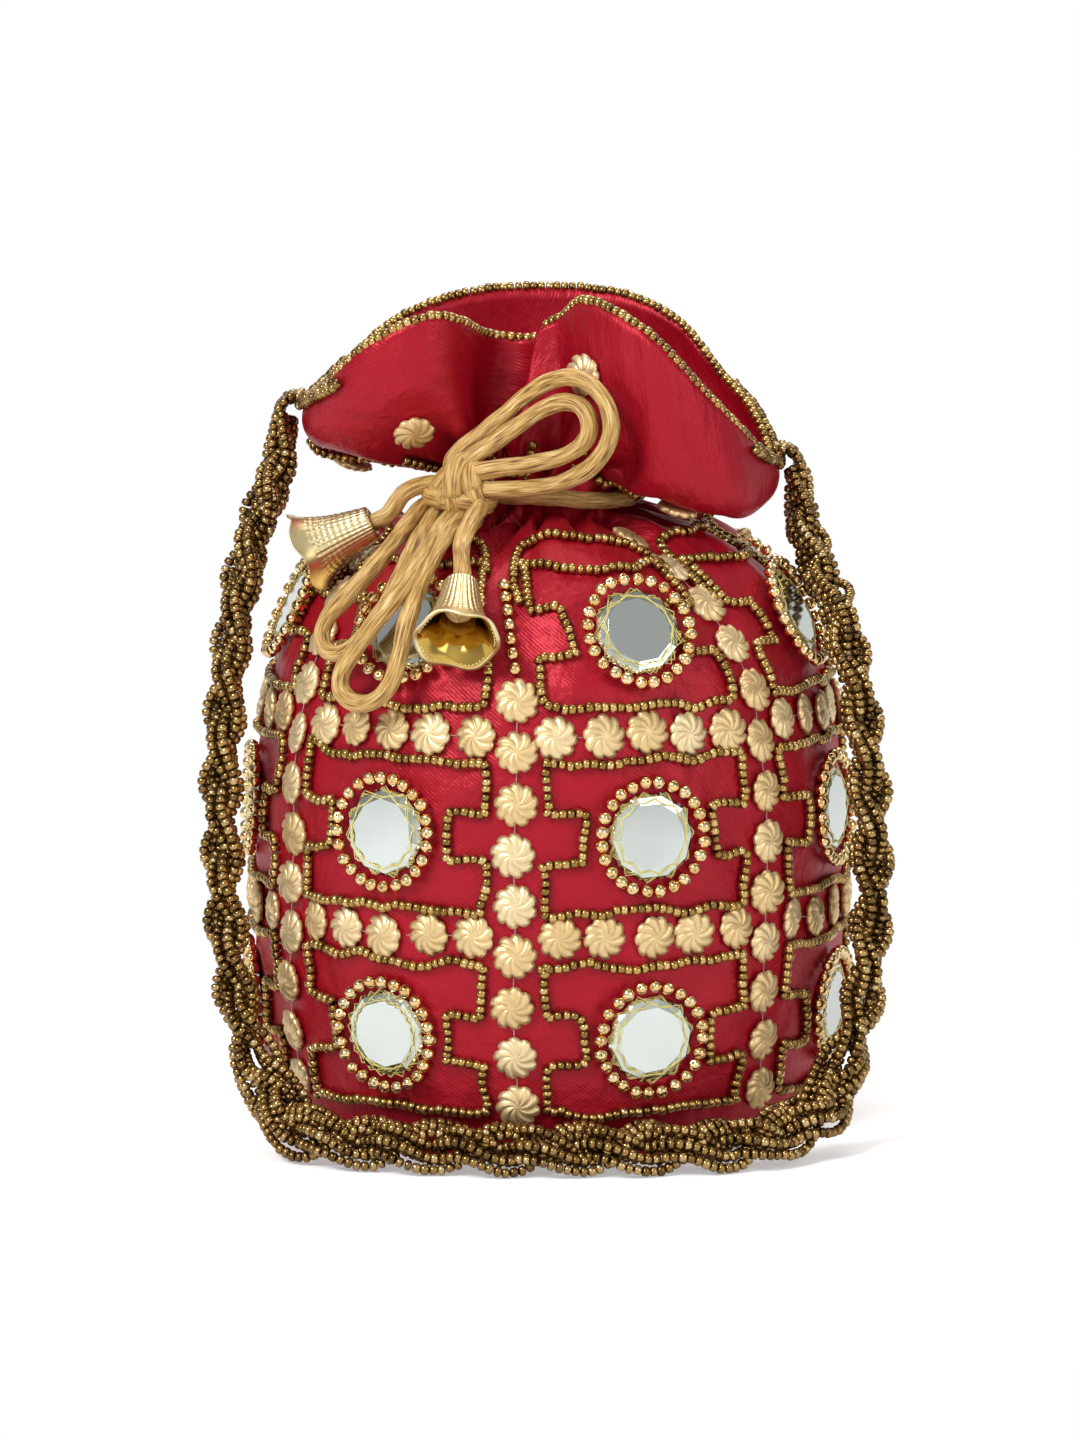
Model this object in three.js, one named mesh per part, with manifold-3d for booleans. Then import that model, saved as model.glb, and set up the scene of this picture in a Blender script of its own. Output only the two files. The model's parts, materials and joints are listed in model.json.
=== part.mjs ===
// A potli: a round-bottomed satin drawstring bag with mirror work, a bow with two bells and
// a plaited bead handle. Millimetres, +Z up. The front faces -Y and +X is to its right.
// The origin is the centre of the base, on the surface that the bag stands on.
// Azimuths are in degrees round the bag, 0 at the front, growing towards +X.

import * as THREE from 'three';
import { mergeVertices } from 'three/addons/utils/BufferGeometryUtils.js';
import Module from 'manifold-3d';

const wasm = await Module();
wasm.setup();

// Pouch
const baseRadius = 68;
const bellyRadius = 73.5;
const shoulderHeight = 153;
const clothWall = 1.6;
const neckRadius = 20.5;
const neckHeight = 5.5;
const throatRadius = 7;
const foldCount = 7;
const foldDepth = 6;
const neckTwist = 14;

// Base panel
const panelThickness = 3;
const pipingRadius = 1.5;

// Frill above the drawstring
const frillHalfWidth = 60;
const frillHalfDepth = 40;
const frillHeight = 49;
const frillBulge = 0.15;
const frillSag = 13;
const sagAzimuth = 58;
const sagSpread = 42;
const notchAzimuth = -30;
const notchWidth = 0.19;
const rimBeadDiameter = 2.4;

// Mirror work
const firstColumnAzimuth = -6.5;
const mirrorRows = 3;
const firstMirrorHeight = 28;
const mirrorRowPitch = 49;
const mirrorDiameter = 20;
const mirrorThickness = 1.8;
const mirrorBevel = 2;
const mirrorFacets = 10;
const ringBeadDiameter = 3.4;

// Drawstring and bow
const cordDiameter = 4.4;
const knotWidth = 17.4;
const knotHeight = 13.1;
const knotDepth = 11.4;
const endKnotDiameter = 6.6;

// Bells on the drawstring's two ends
const bellLength = 19;
const bellMouthRadius = 10.5;
const bellTopRadius = 4;
const bellWall = 1;
const bellPetals = 5;
const bellPetalDepth = 1.6;

// Handle: three plies in a flat plait. Each ply is a flat bundle of bead strands.
const plyWidth = 4.3;
const plyThickness = 3;
const plaitSwing = 4.1;
const plaitDepth = 2.5;
const plaitTurns = 8;
const bunchRadius = 5.6;
const bunchLength = 8.5;

// Clearance between pieces that touch on the real bag
const gap = 0.3;

// Worked out from the sizes above
const panelTop = panelThickness;
const wallFoot = panelTop + gap;
const neckTop = shoulderHeight + neckHeight;
const cordRadius = cordDiameter / 2;
const foldAngle = 360 / foldCount;
const mirrorColumns = foldCount;
const firstMirrorAzimuth = firstColumnAzimuth + foldAngle / 2;

function radians(degrees) {
  return degrees * Math.PI / 180;
}

function smoothstep(low, high, value) {
  return THREE.MathUtils.smoothstep(value, low, high);
}

function outward(azimuth) {
  const angle = radians(azimuth);
  return new THREE.Vector3(Math.sin(angle), -Math.cos(angle), 0);
}

function ellipsoid(width, depth, height, columns, rows) {
  const geometry = new THREE.SphereGeometry(0.5, columns, rows);
  geometry.scale(width, depth, height);
  return geometry;
}

// A closed body from a row of rings of points. The rings either close into a loop, or the
// first and last are filled.
function loft(rings, closed) {
  const columns = rings[0].length;
  const positions = rings.flat().flatMap((point) => point.toArray());
  const triangles = [];
  const spans = closed ? rings.length : rings.length - 1;
  for (let row = 0; row < spans; row++) {
    const next = (row + 1) % rings.length;
    for (let column = 0; column < columns; column++) {
      const side = (column + 1) % columns;
      const a = row * columns + column;
      const b = row * columns + side;
      const c = next * columns + side;
      const d = next * columns + column;
      triangles.push(a, b, c, a, c, d);
    }
  }
  if (!closed) {
    const end = (rings.length - 1) * columns;
    for (let column = 2; column < columns; column++) {
      triangles.push(0, column, column - 1);
      triangles.push(end, end + column - 1, end + column);
    }
  }
  const geometry = new THREE.BufferGeometry();
  geometry.setAttribute('position', new THREE.Float32BufferAttribute(positions, 3));
  geometry.setIndex(triangles);
  return geometry;
}

// A round cord along a smooth open curve through hand-chosen points
function cord(points, diameter, sides, steps) {
  const path = new THREE.CatmullRomCurve3(points, false, 'centripetal');
  const section = new THREE.Shape();
  for (let side = 0; side < sides; side++) {
    const angle = 2 * Math.PI * side / sides;
    const x = diameter / 2 * Math.cos(angle);
    const y = diameter / 2 * Math.sin(angle);
    if (side === 0) section.moveTo(x, y);
    else section.lineTo(x, y);
  }
  section.closePath();
  return new THREE.ExtrudeGeometry(section, { steps, bevelEnabled: false, extrudePath: path });
}

function solid(geometry) {
  const bare = geometry.clone();
  bare.deleteAttribute('normal');
  bare.deleteAttribute('uv');
  const merged = mergeVertices(bare, 0.001);
  return new wasm.Manifold(new wasm.Mesh({
    numProp: 3,
    vertProperties: merged.getAttribute('position').array,
    triVerts: new Uint32Array(merged.index.array),
  }));
}

function join(first, second) {
  const mesh = solid(first).add(solid(second)).getMesh();
  const geometry = new THREE.BufferGeometry();
  geometry.setAttribute('position', new THREE.Float32BufferAttribute(mesh.vertProperties, 3));
  geometry.setIndex(Array.from(mesh.triVerts));
  return geometry;
}

// Pouch wall: the outline from the foot of the wall to the neck, as radius and height
const wallHeight = shoulderHeight - wallFoot;
const bellySwell = bellyRadius - baseRadius;
const shoulderReach = bellyRadius - neckRadius;
const wallOutline = new THREE.SplineCurve([
  new THREE.Vector2(baseRadius, wallFoot),
  new THREE.Vector2(baseRadius + 0.55 * bellySwell, wallFoot + 0.07 * wallHeight),
  new THREE.Vector2(baseRadius + 0.95 * bellySwell, wallFoot + 0.23 * wallHeight),
  new THREE.Vector2(bellyRadius, wallFoot + 0.43 * wallHeight),
  new THREE.Vector2(neckRadius + 0.968 * shoulderReach, wallFoot + 0.613 * wallHeight),
  new THREE.Vector2(neckRadius + 0.887 * shoulderReach, wallFoot + 0.746 * wallHeight),
  new THREE.Vector2(neckRadius + 0.764 * shoulderReach, wallFoot + 0.853 * wallHeight),
  new THREE.Vector2(neckRadius + 0.594 * shoulderReach, wallFoot + 0.926 * wallHeight),
  new THREE.Vector2(neckRadius + 0.368 * shoulderReach, wallFoot + 0.973 * wallHeight),
  new THREE.Vector2(neckRadius + 0.142 * shoulderReach, wallFoot + 0.992 * wallHeight),
  new THREE.Vector2(neckRadius, shoulderHeight),
]);
wallOutline.arcLengthDivisions = 400;
const wallLength = wallOutline.getLength();

// Where a point lies on the outside of the wall, by its azimuth and its way up the cloth.
// Soft folds run up the shoulder into the neck, one below each column of flower beads. They
// turn a little on the way, because the cloth was twisted when it was drawn in.
function wallPoint(azimuth, way) {
  const share = THREE.MathUtils.clamp(way / wallLength, 0, 1);
  const outline = wallOutline.getPointAt(share);
  const untwisted = azimuth + neckTwist * smoothstep(0.6, 1, share);
  const fold = 0.5 + 0.5 * Math.cos(foldCount * radians(untwisted - firstColumnAzimuth));
  const strength = smoothstep(0.6, 0.86, share) * (1 - smoothstep(0.9, 1, share));
  const radius = outline.x - foldDepth * fold * strength;
  return outward(azimuth).multiplyScalar(radius).setZ(outline.y);
}

function wallNormal(azimuth, way) {
  const step = 1;
  const across = wallPoint(azimuth + step, way).sub(wallPoint(azimuth - step, way));
  const up = wallPoint(azimuth, way + step).sub(wallPoint(azimuth, way - step));
  return across.cross(up).normalize();
}

// Frill rim: where the cloth's edge lies, for every 15 degrees of neck from the notch at the
// front. Shares of the frill's half width, half depth and height.
const rimShares = [
  [-0.07, -0.28, 0.72],
  [0.03, -0.40, 0.82],
  [0.12, -0.60, 0.93],
  [0.26, -0.82, 0.885],
  [0.43, -0.94, 0.755],
  [0.61, -0.88, 0.525],
  [0.78, -0.66, 0.305],
  [0.89, -0.33, 0.16],
  [0.925, 0.00, 0.155],
  [0.85, 0.28, 0.35],
  [0.72, 0.54, 0.52],
  [0.57, 0.74, 0.74],
  [0.39, 0.89, 0.86],
  [0.18, 0.98, 0.91],
  [-0.03, 1.00, 0.92],
  [-0.25, 0.97, 0.91],
  [-0.46, 0.87, 0.86],
  [-0.66, 0.70, 0.76],
  [-0.84, 0.46, 0.58],
  [-0.96, 0.20, 0.45],
  [-1.00, -0.08, 0.42],
  [-0.91, -0.47, 0.52],
  [-0.74, -0.76, 0.72],
  [-0.47, -0.79, 0.86],
];
const rimPoints = rimShares.map(([across, deep, high]) => new THREE.Vector3(
  across * frillHalfWidth,
  deep * frillHalfDepth,
  neckTop + high * frillHeight,
));
const rimCurve = new THREE.CatmullRomCurve3(rimPoints, true, 'centripetal');

// The frill's outside at a share of the way round from the notch and of the way up. It
// leaves the neck sideways, sags like a bowl and turns up to the rim. Close to the notch the
// cloth is pinched and stands steeper, and on the right it sags further.
function frillPoint(round, rise) {
  const azimuth = notchAzimuth + 360 * round;
  const rim = rimCurve.getPoint(round % 1);
  const start = outward(azimuth).multiplyScalar(neckRadius).setZ(neckTop);
  const reach = Math.max(0, Math.hypot(rim.x, rim.y) - neckRadius);
  const pinch = 1 - smoothstep(0, notchWidth, Math.min(round, 1 - round));
  const fromSag = (azimuth - sagAzimuth) / sagSpread;
  const sag = frillSag * Math.exp(-fromSag * fromSag);
  const first = start.clone().addScaledVector(outward(azimuth), 0.4 * reach);
  first.z += 2 + 6 * pinch;
  const swell = 1 + frillBulge * (1 - pinch);
  const low = THREE.MathUtils.lerp(0.06, 0.55, pinch) * (rim.z - neckTop) - sag;
  const second = new THREE.Vector3(rim.x * swell, rim.y * swell, neckTop + low);
  return new THREE.CubicBezierCurve3(start, first, second, rim).getPoint(rise);
}

// Satin pouch: one cloth from the base seam through the gathered neck to the frill's rim.
// The rows of the wall lie a little closer together towards the neck.
function makePouch() {
  const columns = 42;
  const wallRows = 11;
  const frillRows = 7;
  const outer = [];
  const thickness = [];
  const neckWall = neckRadius - throatRadius;
  for (let row = 0; row <= wallRows; row++) {
    const share = Math.pow(row / wallRows, 0.9);
    outer.push(Array.from({ length: columns }, (unused, column) => wallPoint(
      notchAzimuth + 360 * column / columns,
      share * wallLength,
    )));
    thickness.push(clothWall + 0.6 * (neckWall - clothWall) * smoothstep(0.85, 1, share));
  }
  outer.push(outer[wallRows].map((point) => point.clone().setZ(shoulderHeight + neckHeight / 2)));
  thickness.push(neckWall);
  for (let row = 0; row <= frillRows; row++) {
    const rise = row / frillRows;
    outer.push(Array.from({ length: columns }, (unused, column) => frillPoint(
      column / columns,
      rise,
    )));
    thickness.push(clothWall + 0.6 * (neckWall - clothWall) * (1 - smoothstep(0, 0.28, rise)));
  }
  const last = outer.length - 1;
  const inner = outer.map((ring, row) => ring.map((point, column) => {
    const left = ring[(column + columns - 1) % columns];
    const right = ring[(column + 1) % columns];
    const below = outer[Math.max(0, row - 1)][column];
    const above = outer[Math.min(last, row + 1)][column];
    const across = right.clone().sub(left);
    const up = above.clone().sub(below);
    const inside = up.cross(across).normalize();
    const moved = point.clone().addScaledVector(inside, thickness[row]);
    if (row === 0) moved.z = wallFoot;
    return moved;
  }));
  const geometry = loft([...outer, ...[...inner].reverse()], true);
  return { geometry, outer, innerRim: inner[last] };
}

// Base panel: a stiff disc covered in satin, with its piped edge
function makeBasePanel() {
  const edge = baseRadius + 0.4 * pipingRadius;
  const profile = [new THREE.Vector2(0, 0), new THREE.Vector2(edge - pipingRadius, 0)];
  const arcSteps = 4;
  for (let step = 1; step <= arcSteps; step++) {
    const angle = -Math.PI / 2 + Math.PI * step / arcSteps;
    profile.push(new THREE.Vector2(
      edge - pipingRadius + pipingRadius * Math.cos(angle),
      pipingRadius + pipingRadius * Math.sin(angle),
    ));
  }
  profile.push(new THREE.Vector2(0, panelTop));
  const geometry = new THREE.LatheGeometry(profile, 36);
  return geometry.rotateX(Math.PI / 2);
}

// A mirror: a glass disc with a bevelled, faceted edge. Its face is towards +Z.
function makeMirror() {
  const radius = mirrorDiameter / 2;
  const profile = [
    new THREE.Vector2(0, 0),
    new THREE.Vector2(radius, 0),
    new THREE.Vector2(radius, mirrorThickness / 3),
    new THREE.Vector2(radius - mirrorBevel, mirrorThickness),
    new THREE.Vector2(0, mirrorThickness),
  ];
  return new THREE.LatheGeometry(profile, mirrorFacets).rotateX(Math.PI / 2);
}

// The ring of round beads sewn about a mirror
function makeBeadRing() {
  const tube = ringBeadDiameter / 2;
  const radius = mirrorDiameter / 2 + gap + tube;
  return new THREE.TorusGeometry(radius, tube, 5, 12);
}

function place(mesh, position, direction) {
  mesh.position.copy(position);
  mesh.quaternion.setFromUnitVectors(new THREE.Vector3(0, 0, 1), direction);
  return mesh;
}

// The beaded edge: a closed round band that stands on the rim
function makeRimBeading(outerRows, innerRim) {
  const tube = rimBeadDiameter / 2;
  const sides = 5;
  const outerRim = outerRows.at(-1);
  const rowBelow = outerRows.at(-2);
  const count = outerRim.length;
  const centres = outerRim.map((point, index) => {
    const rising = point.clone().sub(rowBelow[index]).normalize();
    return point.clone().lerp(innerRim[index], 0.5).addScaledVector(rising, tube + 2 * gap);
  });
  const rings = centres.map((centre, index) => {
    const before = centres[(index + count - 1) % count];
    const after = centres[(index + 1) % count];
    const along = after.clone().sub(before).normalize();
    const level = new THREE.Vector3(0, 0, 1).cross(along).normalize();
    const upright = along.clone().cross(level);
    return Array.from({ length: sides }, (unused, side) => {
      const angle = 2 * Math.PI * side / sides;
      return centre.clone()
        .addScaledVector(level, tube * Math.cos(angle))
        .addScaledVector(upright, tube * Math.sin(angle));
    });
  });
  return loft(rings, true);
}

// A bell: a thin flared cup with a wavy mouth of petals, hung by the hole in its small end.
// Its small end is at the origin and it opens towards +Z.
function makeBell() {
  const hole = cordRadius + gap;
  const outline = new THREE.CubicBezierCurve(
    new THREE.Vector2(bellTopRadius, 0),
    new THREE.Vector2(bellTopRadius + 1.5, 0.45 * bellLength),
    new THREE.Vector2(0.62 * bellMouthRadius, 0.72 * bellLength),
    new THREE.Vector2(bellMouthRadius, bellLength),
  );
  const steps = 5;
  const outside = outline.getPoints(steps);
  const inside = outside.map((point) => new THREE.Vector2(
    point.x - bellWall,
    point.y + 1.2 * bellWall * (1 - point.y / bellLength),
  ));
  const profile = [new THREE.Vector2(hole, 0), ...outside, ...inside.reverse()];
  profile.push(new THREE.Vector2(hole, 1.2 * bellWall), new THREE.Vector2(hole, 0));
  const geometry = new THREE.LatheGeometry(profile, 3 * bellPetals).rotateX(Math.PI / 2);
  const position = geometry.getAttribute('position');
  for (let index = 0; index < position.count; index++) {
    const share = Math.max(0, position.getZ(index) / bellLength - 0.6) / 0.4;
    const angle = Math.atan2(position.getY(index), position.getX(index));
    const wave = bellPetalDepth * share * share * 0.5 * (Math.cos(bellPetals * angle) - 1);
    position.setZ(index, position.getZ(index) + wave);
  }
  return geometry;
}

// Handle: the middle line from the left frill corner, down beside the pouch, along the floor
// in front and up to the right corner. Legs keep clear of the belly by named amounts.
const plaitRise = plaitDepth + plyThickness / 2;
const leftHinge = new THREE.Vector3(
  -frillHalfWidth - gap - 0.5 * bunchLength - 0.8,
  0,
  neckTop + 0.40 * frillHeight,
);
const rightHinge = new THREE.Vector3(
  0.925 * frillHalfWidth + gap + 0.5 * bunchLength + 1.3,
  0,
  neckTop + 0.12 * frillHeight,
);
const hingeLine = rightHinge.clone().sub(leftHinge).normalize();
const handlePoints = [
  new THREE.Vector3(leftHinge.x, -1.2, leftHinge.z - bunchRadius - 3 * gap),
  new THREE.Vector3(leftHinge.x - 1.5, -4, leftHinge.z - 16),
  new THREE.Vector3(-bellyRadius + 1.5, -10, 0.98 * shoulderHeight - 2),
  new THREE.Vector3(-bellyRadius - 3.5, -20, 0.82 * shoulderHeight),
  new THREE.Vector3(-bellyRadius - 6, -29, 0.66 * shoulderHeight),
  new THREE.Vector3(-bellyRadius - 6.5, -34, 0.50 * shoulderHeight),
  new THREE.Vector3(-bellyRadius - 5.5, -39, 0.35 * shoulderHeight),
  new THREE.Vector3(-bellyRadius - 1.5, -46, 0.20 * shoulderHeight),
  new THREE.Vector3(-bellyRadius + 7, -56, 0.085 * shoulderHeight),
  new THREE.Vector3(-0.78 * bellyRadius, -0.92 * bellyRadius, plaitRise + 0.6),
  new THREE.Vector3(-0.52 * bellyRadius, -1.03 * bellyRadius, plaitRise),
  new THREE.Vector3(-0.22 * bellyRadius, -1.09 * bellyRadius, plaitRise),
  new THREE.Vector3(0.08 * bellyRadius, -1.10 * bellyRadius, plaitRise),
  new THREE.Vector3(0.40 * bellyRadius, -1.07 * bellyRadius, plaitRise),
  new THREE.Vector3(0.70 * bellyRadius, -0.98 * bellyRadius, plaitRise + 0.6),
  new THREE.Vector3(0.90 * bellyRadius, -0.82 * bellyRadius, 0.085 * shoulderHeight),
  new THREE.Vector3(bellyRadius + 1.5, -49, 0.20 * shoulderHeight),
  new THREE.Vector3(bellyRadius + 5, -42, 0.35 * shoulderHeight),
  new THREE.Vector3(bellyRadius + 5, -38, 0.50 * shoulderHeight),
  new THREE.Vector3(bellyRadius + 3, -34, 0.66 * shoulderHeight),
  new THREE.Vector3(bellyRadius - 2, -26, 0.82 * shoulderHeight),
  new THREE.Vector3(rightHinge.x + 4.5, -13, rightHinge.z - 26),
  new THREE.Vector3(rightHinge.x + 1, -4.5, rightHinge.z - 14),
  new THREE.Vector3(rightHinge.x, -1.2, rightHinge.z - bunchRadius - 3 * gap),
];

// The plait's middle line, and across it the directions of its width and its thickness.
// The flat side faces the pouch on the legs and the floor in front.
const plaitLine = new THREE.CatmullRomCurve3(handlePoints, false, 'centripetal');
function plaitFrame(share) {
  const centre = plaitLine.getPointAt(share);
  const along = plaitLine.getTangentAt(share);
  const lying = 1 - smoothstep(plaitRise, 10 * plaitRise, centre.z);
  const thin = new THREE.Vector3(centre.x, centre.y, 0).normalize();
  thin.lerp(new THREE.Vector3(0, 0, 1), lying);
  thin.addScaledVector(along, -thin.dot(along)).normalize();
  return { centre, thin, wide: along.clone().cross(thin) };
}

// One ply of the plait. Its middle line swings from side to side once a turn and from front
// to back twice, a third of a turn behind the ply before it.
function makePly(ply) {
  const samples = 12 * plaitTurns;
  const sides = 6;
  const frames = [];
  for (let sample = 0; sample <= samples; sample++) {
    const frame = plaitFrame(sample / samples);
    const phase = 2 * Math.PI * (plaitTurns * sample / samples + ply / 3);
    frame.centre.addScaledVector(frame.wide, plaitSwing * Math.sin(phase));
    frame.centre.addScaledVector(frame.thin, plaitDepth * Math.sin(2 * phase));
    frames.push(frame);
  }
  const rings = frames.map(({ centre, thin }, index) => {
    const before = frames[Math.max(0, index - 1)].centre;
    const after = frames[Math.min(samples, index + 1)].centre;
    const along = after.clone().sub(before).normalize();
    const wide = along.clone().cross(thin).normalize();
    const flat = along.clone().cross(wide);
    return Array.from({ length: sides }, (unused, side) => {
      const angle = 2 * Math.PI * side / sides;
      return centre.clone()
        .addScaledVector(wide, plyWidth / 2 * Math.cos(angle))
        .addScaledVector(flat, plyThickness / 2 * Math.sin(angle));
    });
  });
  return loft(rings, false);
}

// The sewn bunch where the plait's strands are gathered at a corner of the frill. It is
// round about the line through both corners, on which the handle swings.
function makeBunch() {
  const half = bunchLength / 2;
  const profile = [
    new THREE.Vector2(0, -half),
    new THREE.Vector2(0.6 * bunchRadius, -0.92 * half),
    new THREE.Vector2(bunchRadius, -0.45 * half),
    new THREE.Vector2(bunchRadius, 0.45 * half),
    new THREE.Vector2(0.6 * bunchRadius, 0.92 * half),
    new THREE.Vector2(0, half),
  ];
  return new THREE.LatheGeometry(profile, 12).rotateX(Math.PI / 2);
}

// Materials
function finish(color, roughness, metalness) {
  return new THREE.MeshStandardMaterial({ color, roughness, metalness });
}
const redSatin = finish(0xa31227, 0.42, 0);
const bronzeBeads = finish(0x8a6a2c, 0.35, 0.9);
const goldBeads = finish(0xd9a45c, 0.25, 1);
const mirrorGlass = finish(0xdfe6e4, 0.04, 1);
const goldCord = finish(0xc79a4b, 0.55, 0);
const bellGold = finish(0xcdb26a, 0.3, 0.9);

const bag = new THREE.Group();

function add(name, geometry, material) {
  const mesh = new THREE.Mesh(geometry, material);
  mesh.name = name;
  bag.add(mesh);
  return mesh;
}

const pouch = makePouch();
add('satin_pouch', pouch.geometry, redSatin);
add('base_panel', makeBasePanel(), redSatin);
add('rim_beading', makeRimBeading(pouch.outer, pouch.innerRim), bronzeBeads);

for (let row = 0; row < mirrorRows; row++) {
  for (let column = 0; column < mirrorColumns; column++) {
    const azimuth = firstMirrorAzimuth + foldAngle * column;
    const way = firstMirrorHeight + mirrorRowPitch * row;
    const normal = wallNormal(azimuth, way);
    const seat = wallPoint(azimuth, way).addScaledVector(normal, gap);
    const label = `${row + 1}_${column + 1}`;
    place(add(`mirror_${label}`, makeMirror(), mirrorGlass), seat, normal);
    const ringSeat = seat.clone().addScaledVector(normal, ringBeadDiameter / 2);
    place(add(`bead_ring_${label}`, makeBeadRing(), goldBeads), ringSeat, normal);
  }
}

// Drawstring: a turn round the neck, the knot and the bow
const waistRadius = neckRadius + gap + cordRadius;
const waistHeight = shoulderHeight + neckHeight / 2;
const waist = new THREE.TorusGeometry(waistRadius, cordRadius, 8, 24);
add('drawstring_waist', waist, goldCord).position.z = waistHeight;

const knotAzimuth = -40;
const knotRadius = waistRadius + cordRadius + gap + 0.5 * knotDepth + 1.5;
const shoulderUnderKnot = wallOutline.getSpacedPoints(400)
  .filter((point) => point.x < knotRadius)[0].y;
const knotPlace = outward(knotAzimuth).multiplyScalar(knotRadius);
knotPlace.z = shoulderUnderKnot + knotHeight / 2;
const knot = add('bow_knot', ellipsoid(knotWidth, knotDepth, knotHeight, 12, 8), goldCord);
knot.position.copy(knotPlace);
knot.rotation.z = radians(knotAzimuth);

// A place near the front of the gathered neck: to the right of its middle, behind its front
// and above the drawstring. The bow and the bells are laid out about that point.
function spot(right, behind, above) {
  return new THREE.Vector3(right, behind - neckRadius, above + waistHeight);
}

const bowLoopOuter = [
  spot(-25.1, -3.5, 9.45), spot(-19.8, -3.9, 14.05), spot(-12.2, -4.3, 20.05), spot(-5.2, -5.1, 26.45),
  spot(2.4, -8.9, 31.25), spot(9.4, -14.3, 31.65), spot(14.5, -18.3, 27.25), spot(16.8, -19.7, 21.05),
  spot(15.3, -18.7, 14.25), spot(9.3, -15.1, 7.65), spot(1.2, -12.1, 4.25), spot(-6.9, -12.3, 3.45),
  spot(-14.7, -12.7, 3.35),
];
const bowLoopInner = [
  spot(-21.8, -8.1, 9.15), spot(-16, -7.5, 12.85), spot(-9.6, -7.5, 17.35), spot(-2.6, -8.4, 22.45),
  spot(3.9, -11.4, 25.75), spot(9.2, -14.9, 25.15), spot(11.6, -16.6, 20.45), spot(9.6, -15.5, 14.75),
  spot(2.8, -12.7, 11.25), spot(-6.1, -11.7, 9.45), spot(-13.1, -11.7, 8.55), spot(-18.4, -11.8, 7.85),
];
const bowLoopLong = [
  spot(-30.9, -2.3, -1.55), spot(-34.4, -12.5, -4.75), spot(-38.8, -22.6, -9.65), spot(-44, -29.6, -16.15),
  spot(-50.3, -32.1, -23.55), spot(-55.4, -28.5, -29.75),
  spot(-55.8, -30.1, -35.45), spot(-50.2, -34.8, -34.55),
  spot(-44, -36.9, -27.75), spot(-38.4, -34.7, -19.45),
  spot(-33.2, -25.7, -10.25), spot(-29.2, -13.6, -4.65),
  spot(-28, -4.7, -3.35),
];
const bowLoopRound = [
  spot(-23.8, -9.1, -3.55), spot(-25.4, -18.3, -4.55), spot(-29, -30.5, -8.75), spot(-34, -40.5, -16.25),
  spot(-41.5, -44.5, -25.75), spot(-49, -42, -35.75), spot(-52, -40, -43.25), spot(-46.5, -45, -47.25),
  spot(-40, -48.5, -44.25), spot(-36.5, -48.5, -35.75),
  spot(-34.5, -45.5, -26.25), spot(-30, -37.5, -14.75),
  spot(-25, -25.5, -6.75), spot(-21, -10.3, -3.55),
];
add('bow_loop_outer', cord(bowLoopOuter, cordDiameter, 8, 18), goldCord);
add('bow_loop_inner', cord(bowLoopInner, cordDiameter, 8, 16), goldCord);
add('bow_loop_long', cord(bowLoopLong, cordDiameter, 8, 16), goldCord);
add('bow_loop_round', cord(bowLoopRound, cordDiameter, 8, 20), goldCord);

// Each end of the drawstring runs through the hole in a bell and is knotted inside it
function addBell(label, start, mouthWay, route) {
  const way = mouthWay.clone().normalize();
  const at = (distance) => start.clone().addScaledVector(way, distance);
  const tail = cord([...route, at(-4), at(0), at(4), at(8)], cordDiameter, 8, 11);
  const endKnot = ellipsoid(endKnotDiameter, endKnotDiameter, endKnotDiameter, 10, 8);
  endKnot.translate(...at(9).toArray());
  add(`${label}_tail`, join(tail, endKnot), goldCord);
  place(add(`${label}_bell`, makeBell(), bellGold), start, way);
}
addBell('side', spot(-43, -5.5, -5.25), new THREE.Vector3(-0.9, 0.1, -0.42), [
  spot(-30.5, -3.5, 3.55), spot(-35.5, -5.5, 1.75),
]);
addBell('front', spot(-21, -41, -16.25), new THREE.Vector3(-0.05, -0.75, -0.65), [
  spot(-16.6, -13.4, -0.75), spot(-18.6, -20.9, -2.95), spot(-21, -27.5, -8.25),
]);

// Handle
for (let ply = 0; ply < 3; ply++) {
  add(`handle_ply_${ply + 1}`, makePly(ply), bronzeBeads);
}
place(add('handle_bunch_left', makeBunch(), bronzeBeads), leftHinge, hingeLine);
place(add('handle_bunch_right', makeBunch(), bronzeBeads), rightHinge, hingeLine);

export default bag;
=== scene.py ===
# %% [markdown]
# # A potli with mirror work
# A potli is a small round drawstring bag. This one is red satin on a stiff base, gathered at
# the neck by a silky cord tied in a bow, with a bell on each end of the cord. Mirrors, round
# beads, flower-shaped beads and strings of seed beads are sewn all over it, and its handle is
# a plait of bead strings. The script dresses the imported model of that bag: it builds each
# visible piece close to where the model has it, and gives it the surface of the real one.
# All lengths are metres, so `mm` turns a number from a ruler into one.

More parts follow.
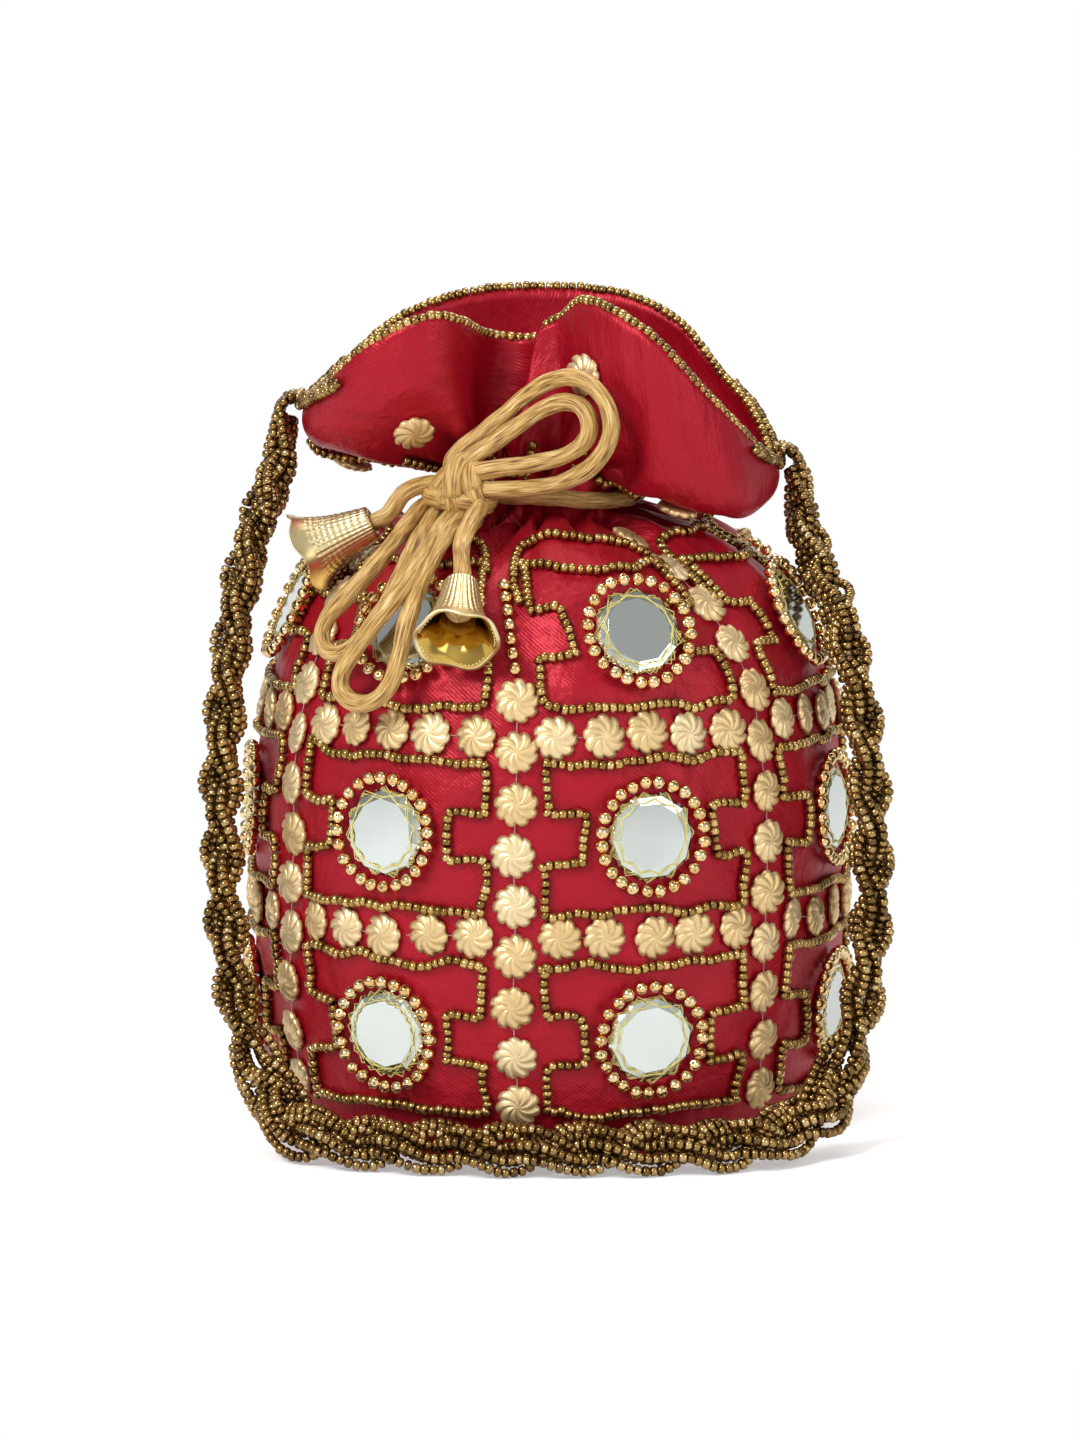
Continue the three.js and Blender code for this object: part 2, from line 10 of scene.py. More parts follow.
# %% Load the frame
import json
import math
import bpy
import numpy as np
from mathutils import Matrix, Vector


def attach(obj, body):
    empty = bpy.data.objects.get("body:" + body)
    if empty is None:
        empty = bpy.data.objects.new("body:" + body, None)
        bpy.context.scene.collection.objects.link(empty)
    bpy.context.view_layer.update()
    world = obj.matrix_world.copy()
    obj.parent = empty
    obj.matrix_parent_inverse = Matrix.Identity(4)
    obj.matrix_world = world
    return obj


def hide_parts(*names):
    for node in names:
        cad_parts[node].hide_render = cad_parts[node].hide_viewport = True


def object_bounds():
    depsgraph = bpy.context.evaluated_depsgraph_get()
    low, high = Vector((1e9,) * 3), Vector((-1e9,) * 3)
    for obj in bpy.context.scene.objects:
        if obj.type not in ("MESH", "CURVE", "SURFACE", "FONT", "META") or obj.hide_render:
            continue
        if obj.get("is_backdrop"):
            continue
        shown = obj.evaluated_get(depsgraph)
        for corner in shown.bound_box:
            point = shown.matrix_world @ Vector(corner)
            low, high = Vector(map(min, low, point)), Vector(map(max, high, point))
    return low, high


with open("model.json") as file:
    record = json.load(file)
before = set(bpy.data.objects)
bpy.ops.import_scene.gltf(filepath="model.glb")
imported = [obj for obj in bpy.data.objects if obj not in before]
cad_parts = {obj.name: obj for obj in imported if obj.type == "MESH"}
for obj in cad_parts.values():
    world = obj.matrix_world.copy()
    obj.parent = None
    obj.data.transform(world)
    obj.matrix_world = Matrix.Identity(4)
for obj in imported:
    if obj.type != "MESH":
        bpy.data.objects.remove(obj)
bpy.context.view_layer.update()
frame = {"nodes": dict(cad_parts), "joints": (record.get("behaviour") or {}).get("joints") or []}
mm = 0.001
turn = 2 * math.pi

# %% [markdown]
# ## Camera
# The photograph looks slightly down on the bag from about 1.4 metres, which keeps the
# base almost flat and shows a little of the frill's inside. A long lens at that distance gives
# the same weak perspective.

# %% Camera
camera_distance = 1400 * mm
camera_elevation = math.radians(8)
look_at = Vector((-2.25 * mm, 0, 98 * mm))
seen_height = 360 * mm
camera = bpy.data.objects.new("camera", bpy.data.cameras.new("camera"))
bpy.context.scene.collection.objects.link(camera)
bpy.context.scene.camera = camera
backwards = Vector((0, -math.cos(camera_elevation), math.sin(camera_elevation)))
camera.location = look_at + backwards * camera_distance
camera.rotation_mode = "QUATERNION"
camera.rotation_quaternion = (-backwards).to_track_quat("-Z", "Y")
camera.data.lens = camera.data.sensor_width * camera_distance / seen_height
bpy.context.scene.view_settings.view_transform = "Standard"
print("lens", round(camera.data.lens, 1), "mm")

# %% [markdown]
# ## Expressions that make nodes
# Materials and Geometry Nodes both need arithmetic, and a chain of Math nodes is hard to read.
# `Link` wraps one output socket, so that `1 - mask * 0.5` adds the Math nodes by itself.
# `Nodes` holds a tree and has one method, `add`, that makes any other node.

# %% Node helpers
class Link:
    """One output of a node. Plain arithmetic on it adds Math nodes."""

    def __init__(self, nodes, socket):
        self.nodes = nodes
        self.socket = socket

    def out(self, name):
        """Another output of the same node."""
        return Link(self.nodes, pick(self.socket.node.outputs, name))

    def __add__(self, other):
        return self.nodes.math("ADD", self, other)

    def __radd__(self, other):
        return self.nodes.math("ADD", other, self)

    def __sub__(self, other):
        return self.nodes.math("SUBTRACT", self, other)

    def __rsub__(self, other):
        return self.nodes.math("SUBTRACT", other, self)

    def __mul__(self, other):
        return self.nodes.math("MULTIPLY", self, other)


def pick(sockets, key):
    """A socket by its name or by its place among those in use."""
    in_use = [socket for socket in sockets if socket.enabled]
    if isinstance(key, int):
        return in_use[key]
    return next(socket for socket in in_use if socket.name == key)


class Nodes:
    """A node tree that is written as expressions."""

    def __init__(self, tree):
        self.tree = tree
        tree.nodes.clear()

    def add(self, kind, settings=None, values=None, out=0):
        """Makes a node, sets its properties, then its sockets, and returns one output."""
        node = self.tree.nodes.new(kind)
        for name, value in (settings or {}).items():
            if name == "stops":
                set_stops(node.color_ramp, value)
            else:
                setattr(node, name, value)
        for name, value in (values or {}).items():
            self.put(pick(node.inputs, name), value)
        return Link(self, pick(node.outputs, out)) if len(node.outputs) else node

    def put(self, socket, value):
        """Links a Link, several Links for a joining socket, or sets a constant."""
        if isinstance(value, list) and isinstance(value[0], Link):
            for link in value:
                self.tree.links.new(link.socket, socket)
        elif isinstance(value, Link):
            self.tree.links.new(value.socket, socket)
        else:
            socket.default_value = value

    def math(self, operation, *values):
        return self.add("ShaderNodeMath", {"operation": operation}, dict(enumerate(values)))

    def vector(self, operation, *values):
        return self.add("ShaderNodeVectorMath", {"operation": operation}, dict(enumerate(values)))

    def scaled(self, vector, number):
        values = {"Vector": vector, "Scale": number}
        return self.add("ShaderNodeVectorMath", {"operation": "SCALE"}, values)

    def mix(self, share, first, second):
        """A colour between two others."""
        values = {"Factor": share, "A": first, "B": second}
        return self.add("ShaderNodeMix", {"data_type": "RGBA"}, values)


def set_stops(ramp, stops):
    while len(ramp.elements) < len(stops):
        ramp.elements.new(0.5)
    for element, (place, colour) in zip(ramp.elements, stops):
        element.position = place
        element.color = colour


def rgb(red, green, blue):
    """A colour as it looks on screen, 0 to 255, made linear for the renderer."""
    def linear(value):
        value /= 255
        return value / 12.92 if value <= 0.04045 else ((value + 0.055) / 1.055) ** 2.4
    return (linear(red), linear(green), linear(blue), 1)


print("node helpers ready")

# %% [markdown]
# ## Studio
# The photograph is a product shot on white with a soft shadow. The floor and the world are
# white where the camera sees them, by Light Path, so the lamps stay at the level at which a
# colour renders as it is written. What metal reflects is brighter in front and behind and
# darker at the sides, which gives the beads their dark edges.

# %% World and floor
world = bpy.data.worlds.new("studio")
bpy.context.scene.world = world
world.use_nodes = True
sky = Nodes(world.node_tree)
ray = sky.add("ShaderNodeLightPath", out="Is Camera Ray")
seen_directly = sky.math("MAXIMUM", ray, ray.out("Is Transmission Ray"))
direction = sky.add("ShaderNodeTexCoord", out="Generated")
facing = sky.add("ShaderNodeSeparateXYZ", values={"Vector": direction}, out="Y")
side_level, front_level = 0.3, 0.95
reflected = side_level + (facing * facing) * (front_level - side_level)
fill_level = 0.42
strength = fill_level + ray.out("Is Glossy Ray") * (reflected - fill_level)
strength = strength + seen_directly * (1 - strength)
background = sky.add("ShaderNodeBackground", values={
    "Color": (1, 1, 1, 1), "Strength": strength})
sky.add("ShaderNodeOutputWorld", values={"Surface": background})

floor_half = 3.0
floor_glow = 0.36
paper_radius, white_radius = 0.13, 0.30
floor_mesh = bpy.data.meshes.new("floor")
floor_mesh.from_pydata(
    [(-floor_half, -floor_half, 0), (floor_half, -floor_half, 0),
     (floor_half, floor_half, 0), (-floor_half, floor_half, 0)],
    [], [(0, 1, 2, 3)])
floor = bpy.data.objects.new("floor", floor_mesh)
bpy.context.scene.collection.objects.link(floor)
floor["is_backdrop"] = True
floor_material = bpy.data.materials.new("floor_paper")
floor_material.use_nodes = True
paper = Nodes(floor_material.node_tree)
ray = paper.add("ShaderNodeLightPath", out="Is Camera Ray")
seen_directly = paper.math("MAXIMUM", ray, ray.out("Is Transmission Ray"))
lit = paper.add("ShaderNodeBsdfDiffuse", values={"Color": (0.9, 0.9, 0.9, 1)})
lift = paper.add("ShaderNodeEmission", values={"Strength": seen_directly * floor_glow})
near = paper.add("ShaderNodeAddShader", values={0: lit, 1: lift})
far = paper.add("ShaderNodeEmission", values={"Strength": 1.0})
place = paper.add("ShaderNodeTexCoord", out="Object")
away = paper.add("ShaderNodeVectorMath", {"operation": "LENGTH"}, {0: place}, out="Value")
fade = paper.add("ShaderNodeMapRange", {"interpolation_type": "SMOOTHSTEP"}, {
    "Value": away, "From Min": paper_radius, "From Max": white_radius})
surface = paper.add("ShaderNodeMixShader", values={0: fade * seen_directly, 1: near, 2: far})
paper.add("ShaderNodeOutputMaterial", values={"Surface": surface})
floor_mesh.materials.append(floor_material)
print("floor", 2 * floor_half, "m wide")


# %% Lamps
def softbox(name, place, size, power):
    """A square lamp that faces the middle of the bag."""
    lamp = bpy.data.objects.new(name, bpy.data.lights.new(name, "AREA"))
    bpy.context.scene.collection.objects.link(lamp)
    lamp.data.size = size
    lamp.data.energy = power
    lamp.location = place
    lamp.rotation_mode = "QUATERNION"
    lamp.rotation_quaternion = (look_at - Vector(place)).to_track_quat("-Z", "Y")


softbox("key", (-0.75, -0.95, 1.05), 0.5, 16)
softbox("fill", (1.05, -0.85, 0.55), 0.7, 4)
softbox("top", (0.1, 0.35, 1.3), 0.8, 8)
print("three softboxes")

# %% [markdown]
# ## Satin
# Satin is a weave whose long floats lie almost parallel, so it has a broad soft shine and, seen
# close, fine slanting lines. The lines run on the cloth's own UV map, because they follow the
# cloth and not the room. A faint blotchy tone stands for the cloth's uneven dye and handling.

# %% Materials: satin
cloth_width = 462 * mm
cloth_length = 240 * mm


def finish(name, **constants):
    """A material with one Principled shader. Constants go on the shader's own sockets."""
    material = bpy.data.materials.new(name)
    material.use_nodes = True
    nodes = Nodes(material.node_tree)
    shader = nodes.add("ShaderNodeBsdfPrincipled")
    nodes.add("ShaderNodeOutputMaterial", values={"Surface": shader})
    nodes.shader = shader.socket.node
    nodes.material = material
    for socket_name, value in constants.items():
        nodes.shader.inputs[socket_name.replace("_", " ")].default_value = value
    return nodes


def bump(nodes, height, depth):
    """Feeds a height into the shader's normal. The depth is the height of a full step."""
    values = {"Height": height, "Distance": depth, "Strength": 1.0}
    nodes.put(nodes.shader.inputs["Normal"], nodes.add("ShaderNodeBump", values=values))


def noise(nodes, vector, scale, detail):
    values = {"Vector": vector, "Scale": scale, "Detail": detail}
    return nodes.add("ShaderNodeTexNoise", values=values, out="Fac")


def paint(nodes, colour, roughness):
    nodes.put(nodes.shader.inputs["Base Color"], colour)
    nodes.put(nodes.shader.inputs["Roughness"], roughness)


def cloth_lines(nodes, width, length, pitch):
    """Slanting lines of floats, from 0 to 1, on a UV map that spans width by length."""
    uv = nodes.add("ShaderNodeUVMap", {"uv_map": "weave"})
    across = nodes.add("ShaderNodeSeparateXYZ", values={"Vector": uv}, out="X")
    along = across.out("Y")
    slant = across * (0.6 * width / pitch) + along * (0.8 * length / pitch)
    return uv, 0.5 + nodes.math("SINE", slant * turn) * 0.5


def satin(name, width, length):
    nodes = finish(name, Metallic=0.36, Sheen_Weight=0.05, Sheen_Roughness=0.35,
                   Specular_IOR_Level=0.35)
    nodes.shader.inputs["Sheen Tint"].default_value = rgb(255, 60, 80)
    uv, lines = cloth_lines(nodes, width, length, 0.8 * mm)
    stretched = nodes.vector("MULTIPLY", uv, (width / mm, length / mm, 0))
    blotch = noise(nodes, stretched, 0.035, 3.0)
    slub = noise(nodes, nodes.vector("MULTIPLY", stretched, (1.3, 0.12, 1)), 1.0, 2.0)
    crumple = noise(nodes, stretched, 0.14, 3.0)
    tone = nodes.mix(blotch, rgb(160, 5, 28), rgb(188, 14, 42))
    # Painted shade: the slanting lines are painted darker, for the shade in the grooves between
    # floats; the slubs darken as the yarn's own uneven colour.
    tone = nodes.mix(lines * 0.26 + slub * 0.12, tone, rgb(108, 2, 17))
    paint(nodes, tone, 0.38 + blotch * 0.1)
    bump(nodes, lines * 0.03 + slub * 0.012 + crumple * 1.1, 1.0 * mm)
    return nodes.material


red_satin = satin("red_satin", cloth_width, cloth_length)
print("satin made")

# %% [markdown]
# ## Beads, cord and metal
# Seed beads are glass with a bronze metal coat that varies from bead to bead, so each bead
# carries a number, `tone`, which the Geometry Nodes below give it. The flower beads are stamped
# and brushed, so they are lighter and softer. The cord is a silky fibre: streaks run along it.

# %% Materials: beads and metals
def carried(nodes, name):
    """A number from 0 to 1 that the pieces carry: their tone, or how much painted shade darkens them
    at a bead's hole.
    """
    return nodes.add("ShaderNodeAttribute", {"attribute_name": name}, out="Fac")


def grain(nodes, scale, detail=2.0):
    return noise(nodes, nodes.add("ShaderNodeTexCoord", out="Object"), scale, detail)


def beads_finish(name, stops, roughness, metallic, rough_spread=0.12):
    nodes = finish(name, Metallic=metallic)
    tone = carried(nodes, "tone")
    speck = grain(nodes, 900)
    colour = nodes.add("ShaderNodeValToRGB", {"stops": stops}, {"Fac": tone}, out="Color")
    dulled = nodes.mix(speck * 0.25, colour, (0.05, 0.03, 0.012, 1))
    # Painted shade: the ends of each bead's hole are painted near black, for the shade inside it.
    with_hole_shade = nodes.mix(carried(nodes, "hole"), dulled, (0.004, 0.003, 0.002, 1))
    paint(nodes, with_hole_shade, roughness + speck * rough_spread)
    bump(nodes, speck, 0.03 * mm)
    return nodes.material


bronze = beads_finish("bronze_glass", [
    (0.0, rgb(104, 80, 44)), (0.35, rgb(148, 116, 66)),
    (0.8, rgb(180, 146, 90)), (1.0, rgb(212, 182, 126))], 0.17, 0.92)
outline_bronze = beads_finish("outline_bronze_glass", [
    (0.0, rgb(138, 106, 56)), (0.4, rgb(180, 144, 82)),
    (0.85, rgb(206, 170, 104)), (1.0, rgb(226, 194, 130))], 0.18, 0.92)
gold = beads_finish("gold_plate", [
    (0.0, rgb(236, 190, 128)), (0.5, rgb(246, 210, 150)), (1.0, rgb(252, 226, 176))], 0.1, 1.0, 0.08)
flower_gold = beads_finish("stamped_gold", [
    (0.0, rgb(232, 198, 140)), (0.5, rgb(242, 212, 158)), (1.0, rgb(248, 224, 176))], 0.36, 0.7)
print("bead finishes made")


# %% Materials: cord, thread, glass and bell metal
def silky_cord(name):
    """Fibres that run along the cord and turn slowly round it, on its own UV map."""
    nodes = finish(name, Sheen_Weight=0.12, Sheen_Roughness=0.3)
    uv = nodes.add("ShaderNodeUVMap", {"uv_map": "weave"})
    fibre = noise(nodes, nodes.vector("MULTIPLY", uv, (44, 1.5, 1)), 1.0, 3.0)
    yarn = noise(nodes, nodes.vector("MULTIPLY", uv, (15, 0.8, 1)), 1.0, 2.0)
    # The streaks are partly the yarns' own uneven colour and partly painted light: the palest stop
    # is painted sheen, the darkest painted shade between the yarns.
    stops = [(0.37, rgb(112, 74, 28)), (0.46, rgb(182, 138, 70)),
             (0.55, rgb(212, 172, 102)), (0.66, rgb(240, 212, 150))]
    colour = nodes.add("ShaderNodeValToRGB", {"stops": stops},
                       {"Fac": fibre * 0.6 + yarn * 0.4}, out="Color")
    paint(nodes, colour, 0.34 + yarn * 0.2)
    bump(nodes, fibre * 0.7 + yarn, 0.5 * mm)
    return nodes.material


def plain_metal(name, light, dark, roughness, scale=220):
    nodes = finish(name, Metallic=1.0)
    stain = grain(nodes, scale, 4.0)
    paint(nodes, nodes.mix(stain, light, dark), roughness + stain * 0.14)
    bump(nodes, stain, 0.02 * mm)
    return nodes.material


def thread_finish(name, light, dark, metallic=0.0):
    nodes = finish(name, Metallic=metallic)
    twist = grain(nodes, 1500)
    paint(nodes, nodes.mix(twist, light, dark), 0.4 + twist * 0.2)
    return nodes.material


cord_silk = silky_cord("cord_silk")
bell_skin = plain_metal("bell_metal", rgb(240, 226, 184), rgb(214, 190, 128), 0.3)
bell_lining = plain_metal("bell_inside", rgb(224, 188, 98), rgb(140, 102, 36), 0.08, 90)
silver_face = plain_metal("mirror_silver", rgb(226, 231, 227), rgb(206, 213, 208), 0.03, 60)
glass_edge = plain_metal("mirror_edge_glass", rgb(228, 234, 226), rgb(176, 186, 172), 0.06, 400)
zari = thread_finish("zari_thread", rgb(236, 224, 150), rgb(204, 188, 106), 0.3)
sewing = thread_finish("sewing_thread", rgb(206, 180, 178), rgb(160, 120, 122))
red_thread = thread_finish("red_thread", rgb(130, 10, 26), rgb(90, 6, 16))
print("cord, thread, glass and bell finishes made")

# %% [markdown]
# ## Building with rings
# The pouch, the cords and the bells are all rows of rings. `loft` skins such rows and writes a
# UV map called `weave`: once round is 1 across, and the row's own measure is along.

# %% Lofts and smooth lines
def piece_from(name, points, faces, material, uvs=None):
    """A smooth-shaded mesh object at the origin."""
    mesh = bpy.data.meshes.new(name)
    mesh.from_pydata([tuple(p) for p in points], [], faces, shade_flat=False)
    if uvs is not None:
        layer = mesh.uv_layers.new(name="weave")
        layer.data.foreach_set("uv", np.asarray(uvs, np.float32).ravel())
    mesh.materials.append(material)
    made = bpy.data.objects.new(name, mesh)
    bpy.context.scene.collection.objects.link(made)
    return made


def loft(name, rings, along, material, closed=False):
    """A skin over rows of closed rings. The rows close into a loop, or their ends are filled."""
    rows, columns = rings.shape[:2]
    faces, uvs = [], []
    for row in range(rows if closed else rows - 1):
        following = (row + 1) % rows
        for column in range(columns):
            side = (column + 1) % columns
            faces.append((row * columns + column, row * columns + side,
                          following * columns + side, following * columns + column))
            left, right = column / columns, (column + 1) / columns
            low, high = along[row], along[following]
            uvs += [(left, low), (right, low), (right, high), (left, high)]
    if not closed:
        last = (rows - 1) * columns
        faces.append(tuple(range(columns - 1, -1, -1)))
        faces.append(tuple(range(last, last + columns)))
        uvs += [(0, along[0])] * columns + [(0, along[-1])] * columns
    return piece_from(name, rings.reshape(-1, 3), faces, material, uvs)


def smooth_line(points, closed=False, per_span=16, power=0.5):
    """A Catmull-Rom curve through the points, as many points. Power 0.5 is centripetal."""
    points = np.asarray(points, float)
    if closed:
        points = np.vstack([points[-1:], points, points[:2]])
    else:
        points = np.vstack([2 * points[0] - points[1], points, 2 * points[-1] - points[-2]])
    t = np.linspace(0, 1, per_span, endpoint=False)[:, None]
    spans = []
    for a, b, c, d in zip(points, points[1:], points[2:], points[3:]):
        before, here, after = (max(np.linalg.norm(q - p), 1e-9) ** power
                               for p, q in ((a, b), (b, c), (c, d)))
        leave = ((b - a) / before - (c - a) / (before + here) + (c - b) / here) * here
        arrive = ((c - b) / here - (d - b) / (here + after) + (d - c) / after) * here
        spans.append(b * (2 * t**3 - 3 * t**2 + 1) + leave * (t**3 - 2 * t**2 + t)
                     + c * (3 * t**2 - 2 * t**3) + arrive * (t**3 - t**2))
    if not closed:
        spans.append(points[-2:-1])
    return np.vstack(spans)


def run_of(line):
    """The distance along a line at each of its points."""
    return np.concatenate([[0], np.cumsum(np.linalg.norm(np.diff(line, axis=0), axis=1))])


def unit(vectors):
    """The same directions, each of length one."""
    return vectors / np.linalg.norm(vectors, axis=-1, keepdims=True)


def evenly(line, spacing):
    """The same line with points a spacing apart."""
    run = run_of(line)
    places = np.linspace(0, run[-1], max(2, round(run[-1] / spacing) + 1))
    return np.stack([np.interp(places, run, line[:, k]) for k in range(line.shape[1])], 1)


def eased(line, passes, spacing=0.75 * mm):
    """A line with its corners rounded, as a cord's stiffness does. Its ends stay."""
    line = evenly(line, spacing)
    for _ in range(passes):
        line[1:-1] += 0.25 * (line[:-2] - 2 * line[1:-1] + line[2:])
    return evenly(line, spacing)


def smoothstep(low, high, value):
    share = np.clip((value - low) / (high - low), 0, 1)
    return share * share * (3 - 2 * share)


print("loft and line helpers ready")

# %% [markdown]
# ## The cloth's form
# One piece of satin makes the wall, the gathered neck and the frill above it. The wall is an
# outline turned round the bag; the frill leaves the neck sideways, sags like a bowl and turns
# up to a rim that dips in a notch at the front. Up to 135 mm the wall keeps within 2 mm of the
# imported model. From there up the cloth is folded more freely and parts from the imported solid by
# up to 11 mm, and at the front right its frill sags further than the solid's does. What only
# the cloth has is seven soft folds that twist as they run into the neck, some twenty narrow
# pleats under the cord, and dimples where beads are sewn down.

# %% Sizes of the cloth
base_radius = 68 * mm
belly_radius = 73.5 * mm
shoulder_height = 153 * mm
wall_foot = 3.3 * mm
neck_radius = 20.5 * mm
neck_height = 5.5 * mm
throat_radius = 7 * mm
cloth_wall = 1.6 * mm
fold_count = 7
fold_depth = 6 * mm
neck_twist = 14
frill_half_width = 60 * mm
frill_half_depth = 40 * mm
frill_height = 49 * mm
frill_bulge = 0.15
frill_sag = 29 * mm
sag_azimuth = 58
sag_spread = 34
notch_azimuth = -30
notch_width = 0.19
first_column = -6.5
neck_top = shoulder_height + neck_height
fold_angle = 360 / fold_count

wall_rise = shoulder_height - wall_foot
swell = belly_radius - base_radius
reach = belly_radius - neck_radius
outline = smooth_line(
    [(base_radius, wall_foot),
     (base_radius + 0.55 * swell, wall_foot + 0.07 * wall_rise),
     (base_radius + 0.95 * swell, wall_foot + 0.23 * wall_rise),
     (belly_radius, wall_foot + 0.43 * wall_rise)]
    + [(neck_radius + out * reach, wall_foot + up * wall_rise) for out, up in (
        (0.968, 0.613), (0.887, 0.746), (0.764, 0.853), (0.594, 0.926),
        (0.368, 0.973), (0.142, 0.992))]
    + [(neck_radius, shoulder_height)], power=0)
outline_run = run_of(outline)
wall_length = outline_run[-1]
outline_slope = unit(np.gradient(outline, outline_run, axis=0))
print("the wall is", round(wall_length / mm), "mm of cloth from base to neck")

# %% The frill's rim
rim_shares = [
    (-0.07, -0.28, 0.72), (0.03, -0.40, 0.82), (0.12, -0.60, 0.93), (0.26, -0.82, 0.885),
    (0.43, -0.94, 0.755), (0.61, -0.88, 0.525), (0.78, -0.66, 0.305), (0.89, -0.33, 0.16),
    (0.925, 0.00, 0.155), (0.85, 0.28, 0.35), (0.72, 0.54, 0.52), (0.57, 0.74, 0.74),
    (0.39, 0.89, 0.86), (0.18, 0.98, 0.91), (-0.03, 1.00, 0.92), (-0.25, 0.97, 0.91),
    (-0.46, 0.87, 0.86), (-0.66, 0.70, 0.76), (-0.84, 0.46, 0.58), (-0.96, 0.20, 0.45),
    (-1.00, -0.08, 0.42), (-0.91, -0.47, 0.52), (-0.74, -0.76, 0.72), (-0.47, -0.79, 0.86)]
rim_line = smooth_line([
    (across * frill_half_width, deep * frill_half_depth, neck_top + high * frill_height)
    for across, deep, high in rim_shares], closed=True)


def outward(azimuth):
    angle = np.radians(azimuth)
    return np.stack([np.sin(angle), -np.cos(angle), 0 * angle], -1)


def rim_at(share):
    """The rim's point at a share of the way round from the notch."""
    place = (share % 1) * len(rim_line)
    loop = np.vstack([rim_line, rim_line[:1]])
    return np.stack([np.interp(place, np.arange(len(loop)), loop[:, k]) for k in range(3)], -1)


print("the rim is", round(run_of(rim_line)[-1] / mm), "mm round")


# %% Where the cloth lies
def twist_at(way):
    """How many degrees the cloth has turned where it is drawn into the neck."""
    return neck_twist * smoothstep(0.6, 1, way / wall_length)


def folds(azimuth, way):
    """Depth of the seven soft folds on the shoulder, which twist towards the neck."""
    share = way / wall_length
    twisted = azimuth + twist_at(way) - first_column
    fold = 0.5 + 0.5 * np.cos(fold_count * np.radians(twisted))
    deep = fold ** 3 * 8 * mm * smoothstep(0.78, 0.92, share)
    soft = fold_depth * fold * smoothstep(0.6, 0.86, share)
    return (soft + deep) * (1 - smoothstep(0.9, 1, share))


def pleats(azimuth, below):
    """Narrow pleats under the drawstring, by the distance below its middle."""
    angle = np.radians(azimuth)
    wander = angle + 0.11 * np.sin(3 * angle + 0.7) + 0.06 * np.sin(5 * angle + 2.1)
    valley = 1 - np.abs(np.sin(9.5 * wander)) ** 0.6
    small = 0.5 + 0.5 * np.sin(31 * wander + below / (4 * mm))
    spread = np.where(below > 0, 24 * mm, 20 * mm)
    near = np.exp(-(below / spread) ** 2)
    return (5.4 * mm * valley + 0.8 * mm * small) * near


# Single folds of the frill: azimuth, half width in degrees, depth in mm, and the share of the
# way up at which each begins and ends
frill_folds = [(-34, 4.5, 9.0, -0.3, 1.5), (-22, 6, -4.0, 0.0, 1.5), (-8, 5, 3.0, -0.3, 0.7),
               (6, 5, 3.5, -0.3, 0.6), (22, 7, 5.5, -0.2, 0.85), (40, 5, 2.5, -0.2, 0.6),
               (-50, 6, 4.0, -0.3, 0.75), (-66, 5, 2.0, -0.2, 0.5), (-84, 8, 3.5, -0.1, 0.7),
               (60, 7, 3.5, -0.1, 0.8), (92, 9, 3.5, 0.0, 0.9),
               (135, 10, 4.0, 0.0, 0.9), (172, 9, 3.5, 0.0, 1.0), (208, 9, 4.0, 0.0, 0.9),
               (250, 9, 3.5, 0.0, 0.9)]


def frill_creases(azimuth, rise):
    """Depth of the frill's own folds."""
    depth = 0
    for middle, half, deep, begin, end in frill_folds:
        off = (azimuth - middle + 180) % 360 - 180
        height = np.sin(math.pi * np.clip((rise - begin) / (end - begin), 0, 1))
        depth = depth + deep * mm * height * np.exp(-(off / half) ** 2)
    return depth


def ripples(azimuth, way):
    """The slack of sewn cloth: shallow waves, and dimples along the rows of flower beads."""
    angle = np.radians(azimuth)
    slack = (np.sin(way / (9 * mm) + 2.4 * np.sin(2 * angle + 0.4)) * np.cos(11 * angle + 1.3)
             + 0.7 * np.sin(23 * angle + way / (13 * mm))) * 0.42 * mm
    dimple = 0
    for row_way in flower_rows:
        near = np.exp(-((way - row_way) / (6 * mm)) ** 2)
        dimple = dimple + near * (0.5 + 0.5 * np.cos(41 * (angle - np.radians(first_column))))
    fade = smoothstep(0, 14 * mm, way)
    return (slack + 0.55 * mm * dimple) * fade


# How far off the points lie from which the wall's and the frill's normals are found
wall_off, frill_off = 1 * mm, 0.02
mirror_rows = (28 * mm, 77 * mm, 126 * mm)
flower_rows = (52.5 * mm, 101.5 * mm)


def wall_point(azimuth, way, creased=True):
    """A point on the outside of the wall, by azimuth in degrees and way up the cloth."""
    radius = np.interp(way, outline_run, outline[:, 0]) - folds(azimuth, way)
    height = np.interp(way, outline_run, outline[:, 1]) + 0 * azimuth
    if creased:
        below = wall_length + neck_height / 2 - way
        depth = pleats(azimuth, below) * smoothstep(0, 6 * mm, below) + ripples(azimuth, way)
        radius = radius - depth * np.interp(way, outline_run, outline_slope[:, 1])
        height = height + depth * np.interp(way, outline_run, outline_slope[:, 0])
    point = outward(azimuth) * np.asarray(radius)[..., None]
    point[..., 2] = height
    return point


